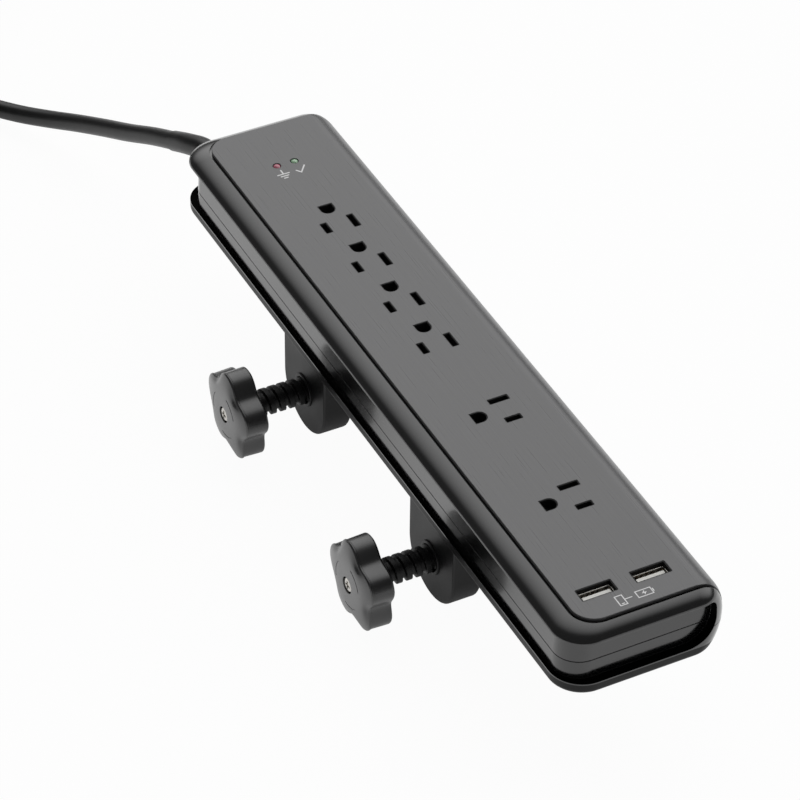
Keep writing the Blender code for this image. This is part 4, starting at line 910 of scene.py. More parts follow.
def outlet_outlines():
    """Each outlet hole's outline, as a function of its growth and its height."""
    slots = []
    grounds = []
    for x in LENGTHWISE_XS:
        slots.append((x, BLADE_SPACING / 2, NEUTRAL_SLOT / 2, SLOT_WIDTH / 2))
        slots.append((x, -BLADE_SPACING / 2, HOT_SLOT / 2, SLOT_WIDTH / 2))
        grounds.append((x - GROUND_OFFSET, 0.0, 0.0))
    for x in CROSSWISE_XS:
        slots.append((x - BLADE_SPACING / 2, CROSSWISE_BLADE_Y, SLOT_WIDTH / 2, NEUTRAL_SLOT / 2))
        slots.append((x + BLADE_SPACING / 2, CROSSWISE_BLADE_Y, SLOT_WIDTH / 2, HOT_SLOT / 2))
        grounds.append((x, CROSSWISE_BLADE_Y - GROUND_OFFSET, pi / 2))
    outlines = [partial(slot_outline, slot) for slot in slots]
    return outlines + [partial(ground_outline, ground) for ground in grounds]


def face_openings_mesh():
    """All that is cut through the face, with rounded edges: outlet slots, USB openings and lamp holes."""
    openings = [(outline, SLOT_EDGE) for outline in outlet_outlines()]
    openings += [(outline, USB_EDGE) for outline in usb_outlines()]
    openings += [(partial(lamp_outline, y), SLOT_EDGE) for y in LAMP_YS]
    bm = bmesh.new()
    for outline, edge in openings:
        rings = [outline(edge, PAST)]
        rings += [outline(growth, -depth) for growth, depth in rounded_edge(edge)]
        rings.append(outline(0.0, -ROOF_DEPTH - PAST / 2))
        add_loft(bm, rings)
    return to_mesh("openings", bm)


def build_liners():
    """Mouldings behind the plate that line the holes' walls, a closed shutter cup in each outlet hole and a
    frame in each port; their near-black is painted shade.
    """
    liners = [(outline, -LINER_BOTTOM, LINER, False) for outline in outlet_outlines()]
    liners += [(outline, -ROOF_DEPTH, 0.0, True) for outline in usb_outlines()]
    bm = bmesh.new()
    for outline, bottom, floor, sleeve in liners:
        add_loft(bm, [outline(-HAIR, bottom), outline(-HAIR, -LINER_TOP), outline(-LINER, -LINER_TOP),
                      outline(-LINER, bottom + floor)], sleeve)
    # The liners are real mouldings, but their near-black, darker than the housing, is painted shade in the
    # holes
    add_piece("outlet_shutters", to_mesh("outlet_shutters", bm), SHUTTER_SHADE)


def plate_outline(growth, chamfer):
    """The face plate's outline as a tool that runs past the spine, with its top edge rounded."""
    def ring(extra, z):
        return plan_ring(PLATE_END + growth + extra, PLATE_FRONT + growth + extra, FRONT_EDGE * 2,
                         PLATE_CORNER + growth + extra, GROOVE, z)
    side = 1 if chamfer > 0 else -1
    rings = [ring(chamfer, PAST)]
    rings += [ring(side * g, -d) for g, d in rounded_edge(abs(chamfer))]
    rings.append(ring(0.0, -UPPER_DEPTH - PAST / 2))
    return loft_mesh(rings)


def build_housing():
    """The two moulded shells and the plate that wraps over the spine."""
    openings = face_openings_mesh()
    pocket = worked(plate_outline(GROOVE, PLATE_EDGE), (CUT, under_skin_mesh(POCKET_DEPTH)))
    bosses = [rod_mesh((x, y, -ROOF_DEPTH + HAIR), (x, y, -UPPER_DEPTH), POST_RADIUS, POST_SIDES)
              for x, y in POSTS]
    cover = worked(
        loft_mesh(upper_rings(COVER_SINK, ROLL_START)),
        *cuts(recess_mesh(), hollow_mesh(), pocket, openings, cord_hole_mesh()),
        *((JOIN, boss) for boss in bosses),
    )
    # Both shells take painted shade on the channel's floor and round end and on the lip's low side
    paint_channel_shade(add_piece("housing_cover", cover, GLOSS_ABS,
                             stands_for=("top_shell",)))
    wells = [screw_well(x, y, -STRIP_HEIGHT) for x, y in POSTS]
    base = worked(loft_mesh(lower_rings()), *cuts(recess_mesh(), hollow_mesh(), cord_hole_mesh(), *wells))
    paint_channel_shade(add_piece("housing_base", base, GLOSS_ABS,
                             stands_for=("bottom_shell",)))
    plate = worked(
        loft_mesh(upper_rings(0.0, 0.0)), (KEEP, plate_outline(0.0, -PLATE_EDGE)),
        *cuts(under_skin_mesh(PLATE_THICKNESS), openings),
    )
    add_piece("outlet_plate", plate, BRUSHED_PLATE, stands_for=("face_plate",))


def add_print(bm, place, corners):
    """A printed patch: its outline, raised by the ink's thickness and a trace over the last patch."""
    flat = [place(u * MM, v * MM) for u, v in corners]
    top = INK + len(bm.faces) * INK_TRACE
    add_loft(bm, [[(x, y, z) for x, y in flat] for z in (-HAIR, top)])


def add_stroke(bm, place, points):
    """A printed line through points, laid on the plate by a function from the symbol's own axes."""
    for start, end in zip(points, points[1:]):
        start, end = Vector(start), Vector(end)
        along = (end - start).normalized() * INK_LINE / 2
        across = Vector((-along.y, along.x))
        add_print(bm, place, [start - along - across, end + along - across, end + along + across,
                              start - along + across])


def beside_lamp(y, u, v):
    return LAMP_X + SYMBOL_OFFSET - v * LAMP_SYMBOL, y + u * LAMP_SYMBOL


def by_ports(y, u, v):
    return PORT_SYMBOL_X - v, y + u


def build_symbols():
    """White pad-printed symbols: tick and ground by the lamps, phone and battery by the ports."""
    bm = bmesh.new()
    for symbol, place, y in ((TICK, beside_lamp, LAMP_YS[0]), (GROUND, beside_lamp, LAMP_YS[1]),
                             (PHONE, by_ports, PHONE_Y), (BATTERY, by_ports, BATTERY_Y)):
        for line in symbol:
            add_stroke(bm, partial(place, y), line)
    add_print(bm, partial(by_ports, BATTERY_Y), BOLT)
    add_piece("printed_symbols", to_mesh("printed_symbols", bm), WHITE_INK)


def cross_recess(size, depth):
    """A cross-head driver's recess as a tool, with its mouth at zero and its depth up Z."""
    bm = bmesh.new()
    for half_x, half_y in ((size / 2, size * CROSS_ARM), (size * CROSS_ARM, size / 2)):
        add_loft(bm, [slot_ring(0.0, 0.0, half_x * share, half_y * share, size * CROSS_CORNER, z)
                      for z, share in ((-PAST, 1.0), (0.0, 1.0), (depth, CROSS_TAPER))])
    half = size * CROSS_CORE
    core = box_mesh(((-half, -half, -PAST), (half, half, depth * CROSS_CORE_DEPTH)))
    return worked(to_mesh("cross_recess", bm), (JOIN, core))


def head_profile(radius, height):
    """A pan head's (radius, height) points, from its face at zero to its seat."""
    points = [(radius * HEAD_FLAT + radius * (1 - HEAD_FLAT) * sin(a), height * HEAD_FLAT * (1 - cos(a)))
              for a in sweep(0.0, pi / 2, FINE_EDGE_STEPS)]
    return [(radius * HEAD_MIDDLE, 0.0), *points, (radius, height)]


def screw_mesh(reach):
    """A cross-head screw that points up Z, with rolled thread rings on its shank."""
    profile = head_profile(SCREW_HEAD, SCREW_HEAD_HEIGHT)
    for i in range(int((reach - SCREW_HEAD_HEIGHT) / THREAD_FINE)):
        z = SCREW_HEAD_HEIGHT + THREAD_FINE * i
        profile += [(SCREW_RADIUS * THREAD_ROOT, z + HAIR), (SCREW_RADIUS, z + THREAD_FINE / 2)]
    profile.append((SCREW_RADIUS * SCREW_TIP, reach))
    recess = cross_recess(SCREW_HEAD * SCREW_DRIVE[0], SCREW_HEAD_HEIGHT * SCREW_DRIVE[1])
    return worked(loft_mesh([ring_z(0, 0, z, r, SCREW_SIDES) for r, z in profile]), (CUT, recess))


def build_screws():
    """Six screws that close the housing and four that hold the clamp frames, heads down."""
    cover_screw = screw_mesh(COVER_SCREW_REACH)
    frame_screw = screw_mesh(FRAME_SCREW_REACH)
    for i, (x, y) in enumerate(POSTS, start=1):
        add_piece(f"cover_screw_{i}", cover_screw, NICKEL,
                  stands_for=(f"housing_screw_{i}",), at=(x, y, -STRIP_HEIGHT + SCREW_SINK))
    for i, x in enumerate(CLAMP_XS, start=1):
        for letter, y in zip("ab", BASE_SCREW_YS):
            add_piece(f"frame_screw_{i}{letter}", frame_screw, NICKEL,
                      stands_for=(f"bracket_screw_{i}{letter}",), at=(x, y, -BASE_BOTTOM + SCREW_SINK))


def usb_shell_mesh(y):
    """A folded metal shell with a flared mouth."""
    half_x, half_y = USB_OPENING[0] / 2 - FIT, USB_OPENING[1] / 2 - FIT

    def ring(inset, z):
        return slot_ring(USB_X, y, half_x - inset, half_y - inset, OPENING_CORNER, z)
    inner = [ring(USB_SHEET - USB_FLARE, USB_TOP + PAST)]
    inner += [ring(USB_SHEET - g, USB_TOP - d) for g, d in rounded_edge(USB_FLARE)]
    inner.append(ring(USB_SHEET, USB_BOTTOM - PAST))
    return worked(loft_mesh([ring(0.0, USB_BOTTOM), ring(0.0, USB_TOP)]), (CUT, loft_mesh(inner)))


def usb_tongue_mesh(y):
    """A tongue with an eased tip, on a floor that fills the shell."""
    half_x, half_y = TONGUE_SIZE[0] / 2, TONGUE_SIZE[1] / 2
    rings = [slot_ring(TONGUE_X, y, half_x - inset, half_y - inset, TONGUE_CORNER, TONGUE_TOP - depth)
             for inset, depth in TONGUE_TIP]
    rings.append(slot_ring(TONGUE_X, y, half_x, half_y, TONGUE_CORNER, USB_BOTTOM + HAIR))
    base_x, base_y = (size / 2 - 2 * FIT - USB_SHEET for size in USB_OPENING)
    floor = box_mesh(((USB_X - base_x, y - base_y, USB_BOTTOM), (USB_X + base_x, y + base_y, USB_FLOOR)))
    return worked(floor, (JOIN, loft_mesh(rings)))


def usb_contacts_mesh(y):
    """Four contacts let into one side of the tongue."""
    face = TONGUE_X - TONGUE_SIZE[0] / 2
    strips = []
    for place in CONTACT_PLACES:
        middle = y + CONTACT_PITCH * place
        strips.append(((face - CONTACT_PROUD, middle - CONTACT_WIDTH / 2, USB_FLOOR),
                       (face + HAIR, middle + CONTACT_WIDTH / 2, CONTACT_TOP)))
    return worked(box_mesh(*strips), (ROUND_OFF, CONTACT_EDGE))


def build_usb_ports():
    """Metal shells, each round a white tongue that carries four contacts."""
    for i, y in enumerate(USB_CENTRES, start=1):
        add_piece(f"usb_socket_{i}", usb_shell_mesh(y), NICKEL,
                  stands_for=(f"usb_shell_{i}",))
        add_piece(f"usb_blade_{i}", usb_tongue_mesh(y), PBT, stands_for=(f"usb_tongue_{i}",))
        add_piece(f"usb_contacts_{i}", usb_contacts_mesh(y), BRASS)


def build_lamps():
    """Two domed lamp lenses, flush in the plate."""
    dome = [(LAMP_RADIUS * s, LAMP_PROUD * (1 - s ** LAMP_DOME * 2)) for s in LAMP_SHARES]
    for name, y, finish, slot in (("protected", LAMP_YS[0], GREEN_LENS, "green_lens"),
                                  ("grounded", LAMP_YS[1], RED_LENS, "red_lens")):
        rings = [ring_z(LAMP_X, y, z, r, SCREW_SIDES) for r, z in [*dome, (LAMP_RADIUS, LAMP_BOTTOM)]]
        add_piece(f"lens_{name}", loft_mesh(rings), finish, stands_for=(f"lamp_{name}",))


def bracket_mesh(x):
    """A C-shaped clamp frame: base plate, bored screw jaw and fixed jaw with round ends."""
    outer, inner = -JAW_FRONT, -JAW_FRONT + JAW_THICKNESS
    fixed, back, foot = FIXED_JAW_FACE, JAW_BACK, -STAND_DEPTH - PAST
    outline = [(outer, -BASE_TOP), (outer, foot), (inner, foot), (inner, -BASE_BOTTOM),
               (fixed, -BASE_BOTTOM), (fixed, foot), (back, foot), (back, -BASE_TOP)]
    wide = JAW_RADIUS + PAST
    blank = loft_mesh([[(x + side * wide, y, z) for y, z in outline] for side in (-1, 1)])
    tongue = [(x + JAW_RADIUS, PAST), (x - JAW_RADIUS, PAST)]
    for angle in sweep(pi, pi, JAW_STEPS):
        tongue.append((x + JAW_RADIUS * cos(angle), -JAW_END_DEPTH + JAW_RADIUS * sin(angle)))
    jaws = loft_mesh([[(px, y, pz) for px, pz in tongue] for y in (outer - PAST, back + PAST)])
    edge = [(BORE_RADIUS + g, d) for g, d in rounded_edge(BORE_EDGE)]
    bore = [(BORE_RADIUS + BORE_EDGE, outer - PAST)]
    bore += [(r, outer + d) for r, d in edge]
    bore += [(r, inner - d) for r, d in reversed(edge)]
    bore.append((BORE_RADIUS + BORE_EDGE, inner + PAST))
    wells = [screw_well(x, y, -BASE_BOTTOM) for y in BASE_SCREW_YS]
    return worked(blank, (KEEP, jaws), (ROUND_OFF, JAW_ROUND), *cuts(turned(x, bore), *wells))


def spindle_mesh(x):
    """A right-hand thread with wide flat crests and narrow grooves, and a neck for the pad."""
    tail, shoulder = KNOB_BACK - SPINDLE_ENTRY, PAD_BACK - FIT
    rows = []
    for y in sweep(tail, shoulder - tail, round((shoulder - tail) / THREAD_STEP)):
        limit = NECK_RADIUS + HAIR + (shoulder - y) * SHOULDER_SLOPE
        waves = [cos(tau * (y / THREAD_PITCH) - turn) for turn in circle(ROUND_SIDES)]
        grooves = [ease((wave - THREAD_FLANK[0]) / THREAD_FLANK[1]) for wave in waves]
        rows.append((y, [min(SPINDLE_RADIUS - THREAD_DEPTH * groove, limit) for groove in grooves]))
    for y in (shoulder + HAIR, shoulder + NECK_LENGTH - HAIR):
        rows.append((y, [NECK_RADIUS] * ROUND_SIDES))
    return loft_mesh([[(x + radius * sin(turn), y, -AXIS_DEPTH + radius * cos(turn))
                       for radius, turn in zip(radii, circle(ROUND_SIDES))] for y, radii in rows])


def pad_mesh(x):
    """A rubber pressure pad with a hub behind and raised rings on its face."""
    rim, hub, back, disc, face = PAD_RADIUS, PAD_HUB, PAD_BACK, PAD_DISC, PAD_FACE
    profile = [(hub * PAD_HUB_SHARE, back), (hub - PAD_HUB_EDGE, back), (hub, back + PAD_HUB_EDGE),
               (hub, disc - PAD_EDGE), (hub + PAD_EDGE, disc), (rim - PAD_EDGE, disc),
               (rim, disc + PAD_EDGE), (rim, face - PAD_FACE_EDGE), (rim - PAD_FACE_EDGE, face)]
    for radius in PAD_RING_RADII:
        profile += [(radius - inward, face - deep) for inward, deep in PAD_GROOVE]
    return turned(x, profile)


def knob_ring(x, notch_angle, setback, scale, lobing):
    """One ring of the knob: a circle drawn in by a notch between each two lobes."""
    ring = []
    for angle in circle(KNOB_POINTS):
        notch = ((1 + cos(KNOB_LOBES * (angle - notch_angle))) / 2) ** KNOB_NOTCH_SHARPNESS
        radius = scale * (KNOB_RADIUS - KNOB_NOTCH * lobing * notch)
        ring.append((x + radius * cos(angle), KNOB_FRONT + setback, -AXIS_DEPTH + radius * sin(angle)))
    return ring


def knob_mark(x, start):
    """An arc-shaped groove round the knob's centre, as a tool."""
    face = KNOB_FRONT + KNOB_DROP * (KNOB_MARK_RADIUS / KNOB_RADIUS) ** KNOB_PILLOW
    deep = Vector((0.0, KNOB_MARK, 0.0))
    rings = []
    for angle in sweep(start, KNOB_MARK_SPAN, ARC_STEPS):
        c, s = cos(angle), sin(angle)
        middle = Vector((x + KNOB_MARK_RADIUS * c, face, -AXIS_DEPTH + KNOB_MARK_RADIUS * s))
        outward = Vector((c, 0.0, s)) * KNOB_MARK
        rings.append([middle + outward * cos(t) + deep * sin(t) for t in circle(MARK_SIDES)])
    return loft_mesh(rings)


def knob_mesh(x, notch_angle):
    """A five-lobed knob: a slightly domed cap that overhangs its sides, bolt recess and socket."""
    edge = KNOB_EDGE / KNOB_RADIUS
    step = KNOB_STEP / KNOB_RADIUS
    rim = KNOB_DROP + KNOB_EDGE
    profile = []
    for a in sweep(0.0, pi / 2, CAP_STEPS):
        share = (1 - edge) * (KNOB_MIDDLE + (1 - KNOB_MIDDLE) * sin(a))
        lobing = ease((share - KNOB_LOBING[0]) / KNOB_LOBING[1])
        profile.append((KNOB_DROP * share ** KNOB_PILLOW, share, lobing))
    profile += [(KNOB_DROP + d * KNOB_RADIUS, 1 - g, 1.0)
                for g, d in rounded_edge(edge, FINE_EDGE_STEPS)[1:]]
    profile += [(rim + KNOB_STEP * down, 1 - step * inward, 1.0) for down, inward in KNOB_OVERHANG]
    profile += [(KNOB_LENGTH - d, 1 - g / KNOB_RADIUS, 1.0)
                for g, d in reversed(rounded_edge(KNOB_BACK_EDGE, BEVEL_STEPS))]
    blank = loft_mesh([knob_ring(x, notch_angle, *row) for row in profile])
    recess = BOLT_HEAD + FIT
    well = [(recess + SLOT_EDGE, KNOB_FRONT - PAST)]
    well += [(recess + g, KNOB_FRONT + d) for g, d in rounded_edge(SLOT_EDGE)]
    well.append((recess, KNOB_FRONT + BOLT_SINK + BOLT_HEAD_HEIGHT + FIT))
    socket = rod_mesh((x, KNOB_BACK - KNOB_SOCKET, -AXIS_DEPTH), (x, KNOB_BACK + PAST, -AXIS_DEPTH),
                      SPINDLE_RADIUS + FIT)
    marks = [knob_mark(x, start) for start in KNOB_MARK_STARTS]
    return worked(blank, *cuts(turned(x, well), socket, *marks), smooth=KNOB_SMOOTH)


def collar_mesh(x):
    """A flanged bush round the jaw's bore, with rounded edges."""
    face = -JAW_FRONT - COLLAR_HEIGHT
    profile = [(BORE_RADIUS, -JAW_FRONT), (BORE_RADIUS, face)]
    profile += [(COLLAR_RADIUS - g, face + d) for g, d in rounded_edge(COLLAR_EDGE, BEVEL_STEPS)]
    profile.append((COLLAR_RADIUS, -JAW_FRONT))
    return turned(x, profile, sleeve=True)


def bolt_mesh(x):
    """The bolt that holds the knob: a cross head that looks out of the recess."""
    face = KNOB_FRONT + BOLT_SINK
    seat = face + BOLT_HEAD_HEIGHT
    profile = [(r, face + h) for r, h in head_profile(BOLT_HEAD, BOLT_HEAD_HEIGHT)]
    profile += [(BOLT_RADIUS, seat + HAIR), (BOLT_RADIUS, seat + BOLT_REACH)]
    recess = cross_recess(BOLT_HEAD * BOLT_DRIVE[0], BOLT_HEAD_HEIGHT * BOLT_DRIVE[1])
    recess.transform(Matrix.Translation((x, face, -AXIS_DEPTH)) @ Matrix.Rotation(-pi / 2, 4, "X"))
    return worked(turned(x, profile, BOLT_SIDES), (CUT, recess))


def build_clamps():
    """Each clamp's frame and bush, which stay, and its spindle, knob, bolt and pad, which move."""
    for i, (x, notch_angle) in enumerate(zip(CLAMP_XS, KNOB_TURNS), start=1):
        screw, pad = f"screw_{i}", f"pad_{i}"
        add_piece(f"clamp_frame_{i}", bracket_mesh(x), BRACKET_NYLON,
                  stands_for=(f"clamp_bracket_{i}",))
        add_piece(f"clamp_bush_{i}", collar_mesh(x), BRACKET_NYLON)
        add_piece(f"clamp_spindle_{i}", spindle_mesh(x), BRACKET_NYLON, screw,
                  (f"clamp_screw_{i}",))
        add_piece(f"clamp_handwheel_{i}", knob_mesh(x, notch_angle), NYLON, screw,
                  (f"clamp_knob_{i}",))
        add_piece(f"handwheel_bolt_{i}", bolt_mesh(x), NICKEL, screw, (f"knob_bolt_{i}",))
        add_piece(f"clamp_pad_{i}", pad_mesh(x), RUBBER, pad, (f"pressure_pad_{i}",))


def line_length(line):
    return sum((q - p).length for p, q in zip(line, line[1:]))


def smooth_line(route, step):
    """A smooth curve through route points, walked in equal steps."""
    padded = [2 * route[0] - route[1], *route, 2 * route[-1] - route[-2]]
    fine = []
    for a, b, c, d in zip(padded, padded[1:], padded[2:], padded[3:]):
        for t in sweep(0.0, 1.0, ROUTE_STEPS)[:-1]:
            fine.append((2 * b + (c - a) * t + (2 * a - 5 * b + 4 * c - d) * t * t
                         + (3 * b - a - 3 * c + d) * t ** 3) / 2)
    fine.append(route[-1])
    length = line_length(fine)
    count = round(length / step)
    walked, done, due = [fine[0]], 0.0, length / count
    for p, q in zip(fine, fine[1:]):
        piece = (q - p).length
        while done + piece >= due and len(walked) < count:
            walked.append(p.lerp(q, (due - done) / piece))
            due += length / count
        done += piece
    return [*walked, fine[-1]]


def coil_line():
    """The coil's line: in and out over its layers, a climb at each reversal, then to the plug."""
    widest = COIL_MEAN_RADIUS + COIL_PITCH * LAYER_TURNS / 2
    climb = PLUG_AXIS - COIL_REST - COIL_RISE
    line = [Vector((COIL_CENTRE.x + CORD_DIAMETER, COIL_CENTRE.y - widest, COIL_REST))]
    for turns in sweep(0.0, COIL_TURNS, COIL_TURNS * LOOP_POINTS):
        swing = abs((turns / LAYER_TURNS + 1) % 2 - 1)
        radius = widest - COIL_PITCH * LAYER_TURNS * swing
        angle = -pi / 2 - tau * turns
        z = COIL_REST
        for reversal in range(1, COIL_LAYERS):
            z += COIL_PITCH * ease((turns - reversal * LAYER_TURNS) / LAYER_CLIMB + 0.5)
        z += climb * ease((turns - COIL_TURNS + PLUG_CLIMB) / PLUG_CLIMB * (1 - TAIL_SHARE))
        line.append(Vector((COIL_CENTRE.x + radius * cos(angle), COIL_CENTRE.y + radius * sin(angle), z)))
    for share in sweep(0.0, 1.0, LOOP_POINTS // 4)[1:]:
        angle = -pi / 2 * (1 + share)
        z = COIL_REST + COIL_RISE + climb * ease(1 - TAIL_SHARE + TAIL_SHARE * share)
        line.append(Vector((COIL_CENTRE.x + TAIL_RADIUS * cos(angle),
                            COIL_CENTRE.y - widest + TAIL_RADIUS * (1 + sin(angle)), z)))
    return [*line, line[-1] + Vector((0.0, CORD_DIAMETER, 0.0))]


def tube_mesh(sections):
    """A tube through (point, diameter) sections."""
    points = [point for point, _ in sections]
    rings = []
    for behind, (point, width), ahead in zip(points[:1] + points, sections, points[1:] + points[-1:]):
        along = (ahead - behind).normalized()
        side = along.cross(Vector((0, 0, 1))).normalized()
        rise = side.cross(along)
        rings.append([point + (side * cos(a) + rise * sin(a)) * (width / 2) for a in circle(RELIEF_SIDES)])
    return loft_mesh(rings)


def cord_curve(line):
    """A round cord along a line."""
    curve = bpy.data.curves.new("mains_cord", "CURVE")
    curve.dimensions = "3D"
    curve.bevel_depth = CORD_DIAMETER / 2
    curve.bevel_resolution = CORD_ROUNDNESS
    curve.use_fill_caps = True
    spline = curve.splines.new("POLY")
    spline.points.add(len(line) - 1)
    for place, point in zip(spline.points, line):
        place.co = (*point, 1.0)
    spline.use_smooth = True
    return curve


def build_cord():
    """The mains cord: strain relief, lead to the floor, tied coil and plug."""
    start = CORD_ROUTE[0]
    heading = (CORD_ROUTE[1] - start).normalized()
    x_axis = Vector((1.0, 0.0, 0.0))
    inside = CORD_EXIT + x_axis * (-RECESS_END + WALL + FIT)
    exit_point = CORD_EXIT + x_axis * (-RECESS_END - FIT)
    root = exit_point - x_axis * RELIEF_COLLAR_LENGTH
    bend = root - x_axis * RELIEF_STRAIGHT
    sleeve = smooth_line([root, bend, start - heading * RELIEF_STRAIGHT, start], RELIEF_STEP)

    coil = coil_line()
    before = coil[0] + x_axis * COIL_ENTRY
    lead = smooth_line([*sleeve[::LEAD_SKIP][:-1], *CORD_ROUTE, before, coil[0]], CORD_STEP)
    line = [exit_point, *lead, *coil[1:]]
    cord = add_piece("mains_cord", cord_curve(line), PVC,
                     stands_for=("cord_lead", "cord_coil"))

    sections = [(inside + x_axis * RELIEF_FLANGE_THICKNESS, RELIEF_FLANGE), (inside, RELIEF_FLANGE),
                (inside - x_axis * HAIR, RELIEF_NECK), (exit_point, RELIEF_NECK),
                (exit_point - x_axis * HAIR, RELIEF_COLLAR - RELIEF_EDGE),
                (exit_point - x_axis * RELIEF_COLLAR_EDGE, RELIEF_COLLAR), (root, RELIEF_COLLAR),
                (root - x_axis * RELIEF_EDGE, RELIEF_SHOULDER)]
    widths = sweep(RELIEF_SHOULDER, RELIEF_TIP - RELIEF_SHOULDER, len(sleeve) - 1)
    sections += list(zip(sleeve, widths))[1:]
    sections.append((start + heading * HAIR, RELIEF_TIP - RELIEF_EDGE))
    relief_piece = add_piece("cord_sleeve", tube_mesh(sections), PVC,
                             stands_for=("strain_relief",))
    tie = build_tie()
    plug = build_plug(line[-1])


def build_tie():
    """A hook-and-loop band round all the coil's passes."""
    corner = CORD_DIAMETER / 4
    bundle = COIL_RISE + CORD_DIAMETER
    middle_x = COIL_PITCH * LAYER_TURNS / 2 + CORD_DIAMETER / 2 + TIE_SLACK - corner
    middle_z = bundle / 2 + TIE_SLACK - corner
    thick, shy = TIE_THICKNESS, TIE_THICKNESS - TIE_EDGE
    rings = []
    for across, swell in ((-1, 0.0), (-1, TIE_EDGE), (-1, shy), (-TIE_FLAT, thick),
                          (TIE_FLAT, thick), (1, shy), (1, TIE_EDGE), (1, 0.0)):
        ring = []
        for side_x, side_z, start in ((1, 1, 0.0), (-1, 1, pi / 2), (-1, -1, pi), (1, -1, 3 * pi / 2)):
            for angle in sweep(start, pi / 2, SMALL_STEPS):
                ring.append((side_x * middle_x + (corner + swell) * cos(angle), across * TIE_WIDTH / 2,
                             side_z * middle_z + (corner + swell) * sin(angle)))
        rings.append(ring)
    mesh = loft_mesh(rings, sleeve=True)
    out = Vector((cos(TIE_ANGLE), sin(TIE_ANGLE), 0.0)) * COIL_MEAN_RADIUS
    middle = Vector((*COIL_CENTRE, COIL_REST - CORD_DIAMETER / 2 + bundle / 2))
    mesh.transform(Matrix.Translation(middle + out) @ Matrix.Rotation(TIE_ANGLE, 4, "Z"))
    return add_piece("cord_band", mesh, NYLON, stands_for=("cord_tie",))


def plug_ring(origin, along, half_width, half_height, squareness):
    """The plug's outline, from a round at squareness 2 towards a rectangle."""
    ring = []
    for angle in circle(PLUG_SIDES):
        c, s = cos(angle), sin(angle)
        x = half_width * abs(c) ** (2 / squareness) * (1 if c >= 0 else -1)
        z = half_height * abs(s) ** (2 / squareness) * (1 if s >= 0 else -1)
        ring.append(origin + Vector((x, along, z)))
    return ring


def plug_mesh(origin, face):
    """The plug's moulding: a ribbed neck, a shoulder, grip grooves and a rounded face."""
    tip, wide, tall = PLUG_NECK_TIP, PLUG_WIDTH / 2, PLUG_HEIGHT / 2
    top = tip * (1 + PLUG_NECK_SWELL)
    pitch = PLUG_RIBBED / PLUG_RIBS
    profile = []
    for i in range(PLUG_RIBS):
        size = tip * (1 + PLUG_NECK_SWELL * i / PLUG_RIBS)
        profile += [(pitch * (i + along), size * scale, size * scale, PLUG_ROUND)
                    for along, scale in PLUG_RIB]
    for share in sweep(0.0, 1.0, SMALL_STEPS):
        swell = ease(share)
        along = PLUG_RIBBED + (PLUG_NECK - PLUG_RIBBED + PLUG_SHOULDER) * share
        profile.append((along, top + (wide - top) * swell, top + (tall - top) * swell,
                        PLUG_ROUND + PLUG_SQUARING * swell))
    for i in range(PLUG_GRIPS):
        at = PLUG_GRIP_START + PLUG_GRIP_PITCH * i
        profile += [(at + along, wide - inset, tall - inset, PLUG_GRIP_SQUARE)
                    for along, inset in PLUG_GRIP]
    profile += [(face - d, wide - g, tall - g, PLUG_FACE_SQUARE)
                for g, d in reversed(rounded_edge(PLUG_EDGE, FINE_EDGE_STEPS))]
    return loft_mesh([plug_ring(origin, *row) for row in profile])


def blade_mesh(middle, face, width):
    """A flat blade with an eased tip and a round eye."""
    tip = face + BLADE_LENGTH
    rings = []
    for along, inset in ((face - PIN_ROOT, 0.0), *((tip - back, inset) for back, inset in BLADE_TIP)):
        half_x, half_z = BLADE_THICKNESS / 2 - inset * BLADE_TIP_THINNING, width / 2 - inset
        rings.append([middle + Vector((side_x * half_x, along, side_z * half_z))
                      for side_x, side_z in ((1, 1), (-1, 1), (-1, -1), (1, -1))])
    eye = middle + Vector((0.0, tip - BLADE_EYE_BACK, 0.0))
    across = Vector((PAST, 0.0, 0.0))
    return worked(loft_mesh(rings), (CUT, rod_mesh(eye - across, eye + across, BLADE_EYE)))


def build_plug(cord_end):
    """A moulded three-pin plug, lying on the coil."""
    origin = cord_end + Vector((0.0, FIT, 0.0))
    face = PLUG_NECK + PLUG_BODY
    pieces = [add_piece("plug_moulding", plug_mesh(origin, face), PVC,
                        stands_for=("plug_body",))]
    for side, (name, width) in zip((-1, 1), BLADE_WIDTHS.items()):
        middle = origin + Vector((side * BLADE_SPACING / 2, 0.0, BLADE_RISE))
        pieces.append(add_piece(f"mains_{name}_blade", blade_mesh(middle, face, width), BRASS,
                                stands_for=(f"plug_{name}_blade",)))
    pin_end = face + PIN_LENGTH - PIN_RADIUS
    profile = [(PIN_RADIUS, face - PIN_ROOT)]
    profile += [(max(HAIR, PIN_RADIUS * cos(a)), pin_end + PIN_RADIUS * sin(a))
                for a in sweep(0.0, pi / 2, SMALL_STEPS)]
    pin_z = origin.z + BLADE_RISE - GROUND_OFFSET
    pin = loft_mesh([ring_y(origin.x, pin_z, origin.y + along, r, SCREW_SIDES) for r, along in profile])
    pieces.append(add_piece("mains_ground_pin", pin, BRASS, stands_for=("plug_ground_pin",)))
    return pieces


def finish_inner_parts():
    """Bus bars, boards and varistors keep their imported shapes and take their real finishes."""
    finishes = {
        "hot_bus_bar": BRASS, "neutral_bus_bar": BRASS, "ground_bus_bar": BRASS,
        "surge_board": CIRCUIT_BOARD, "usb_board": CIRCUIT_BOARD,
        "varistor_1": EPOXY, "varistor_2": EPOXY, "varistor_3": EPOXY,
    }
    for name, finish in finishes.items():
        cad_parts[name].material_slots[0].material = finish


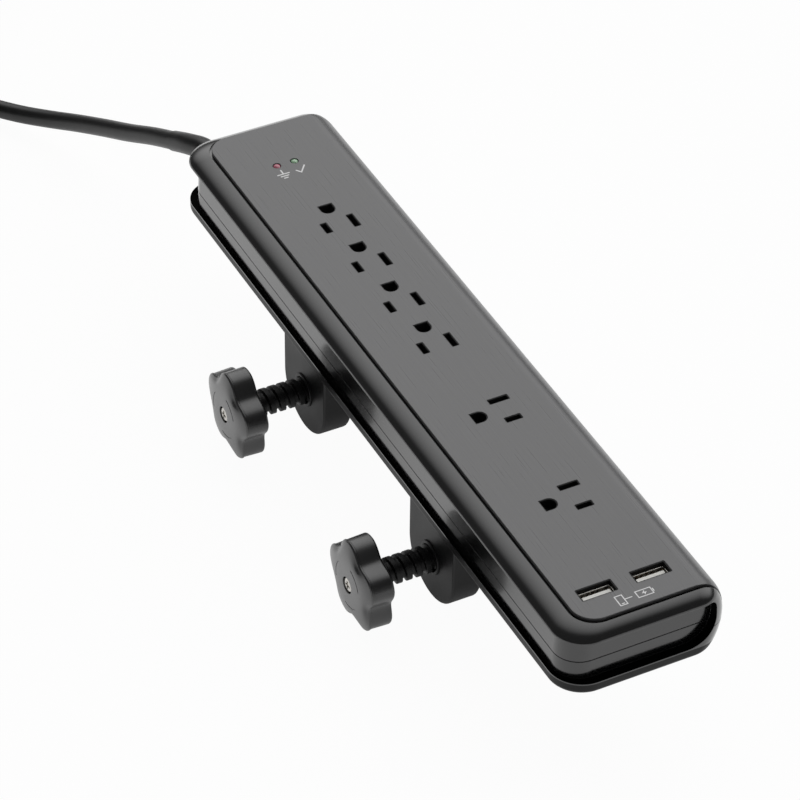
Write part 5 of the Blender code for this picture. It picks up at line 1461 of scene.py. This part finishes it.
def finish_paper():
    """White paper: its own white to the eye and, less where it is shaded, in reflections."""
    paper, tree, matt = new_finish("white paper", "#f4f4f4", Roughness=0.9)
    path = add(tree, "LightPath").outputs
    times = {"operation": "MULTIPLY"}
    mirrored = add(tree, "Math", {"operation": "MAXIMUM"}, path["Is Glossy Ray"],
                   path["Is Transmission Ray"])
    openness = add(tree, "AmbientOcclusion", {"samples": SHADOW_SAMPLES}, Distance=SHADOW_REACH)
    shaded = add(tree, "Math", times, openness.outputs["AO"], MIRRORED_GLOW)
    softened = add(tree, "Math", times, mirrored.outputs["Value"], shaded.outputs["Value"])
    seen = add(tree, "Math", times, path["Is Camera Ray"], FLOOR_GLOW)
    share = add(tree, "Math", {"operation": "ADD", "use_clamp": True}, seen.outputs["Value"],
                softened.outputs["Value"])
    glow = add(tree, "Emission", Color=(1.0, 1.0, 1.0, 1.0), Strength=1.0)
    mix = add(tree, "MixShader", None, share.outputs["Value"], matt.outputs["BSDF"],
              glow.outputs["Emission"])
    feed(tree, tree.nodes["Material Output"].inputs["Surface"], mix.outputs["Shader"])
    return paper


def build_floor():
    """A plain white floor, which keeps a soft shadow."""
    bm = bmesh.new()
    bmesh.ops.create_circle(bm, cap_ends=True, segments=FLOOR_SIDES, radius=FLOOR_RADIUS)
    mesh = bpy.data.meshes.new("studio_floor")
    bm.to_mesh(mesh)
    bm.free()
    mesh.materials.append(finish_paper())
    placed("studio_floor", mesh)


def build_studio():
    """A light tent: bright behind the strip and above its far end, dim elsewhere and by the floor."""
    world = bpy.data.worlds.new("light tent")
    scene.world = world
    world.use_nodes = True
    tree = world.node_tree
    smooth = {"interpolation_type": "SMOOTHSTEP"}
    place = add(tree, "TexCoord").outputs["Generated"]
    towards = add(tree, "VectorMath", {"operation": "DOT_PRODUCT"}, place, TENT_LEAN).outputs["Value"]
    height = add(tree, "SeparateXYZ", Vector=place).outputs["Z"]
    lit = add(tree, "MapRange", smooth, Value=towards, From_Min=TENT_EDGE[0], From_Max=TENT_EDGE[1])
    raised = add(tree, "MapRange", smooth, Value=height, From_Min=TENT_SKYLINE[0], From_Max=TENT_SKYLINE[1])
    both = add(tree, "Math", {"operation": "MULTIPLY"}, lit.outputs["Result"], raised.outputs["Result"])
    ramp = add(tree, "ValToRGB", Fac=both.outputs["Value"])
    dim, bright = ramp.color_ramp.elements
    dim.color = (TENT_DIM, TENT_DIM, TENT_DIM, 1.0)
    bright.color = (1.0, 1.0, 1.0, 1.0)
    backdrop = tree.nodes["Background"]
    feed(tree, backdrop.inputs["Color"], ramp.outputs["Color"])
    backdrop.inputs["Strength"].default_value = TENT_LEVEL


def build_camera():
    lens = bpy.data.cameras.new("camera")
    lens.sensor_width = CAMERA_SENSOR_MM
    lens.lens = CAMERA_LENS_MM
    camera = placed("camera", lens)
    camera.location = CAMERA_PLACE
    level = CAMERA_VIEW.to_track_quat("-Z", "Y").to_matrix()
    camera.rotation_euler = (level @ Matrix.Rotation(CAMERA_ROLL, 3, "Z")).to_euler()
    scene.camera = camera


build_camera()
build_cord()
build_housing()
build_liners()
build_screws()
build_usb_ports()
build_lamps()
build_symbols()
build_clamps()
finish_inner_parts()
build_floor()
build_studio()
scene.view_settings.view_transform = "Standard"
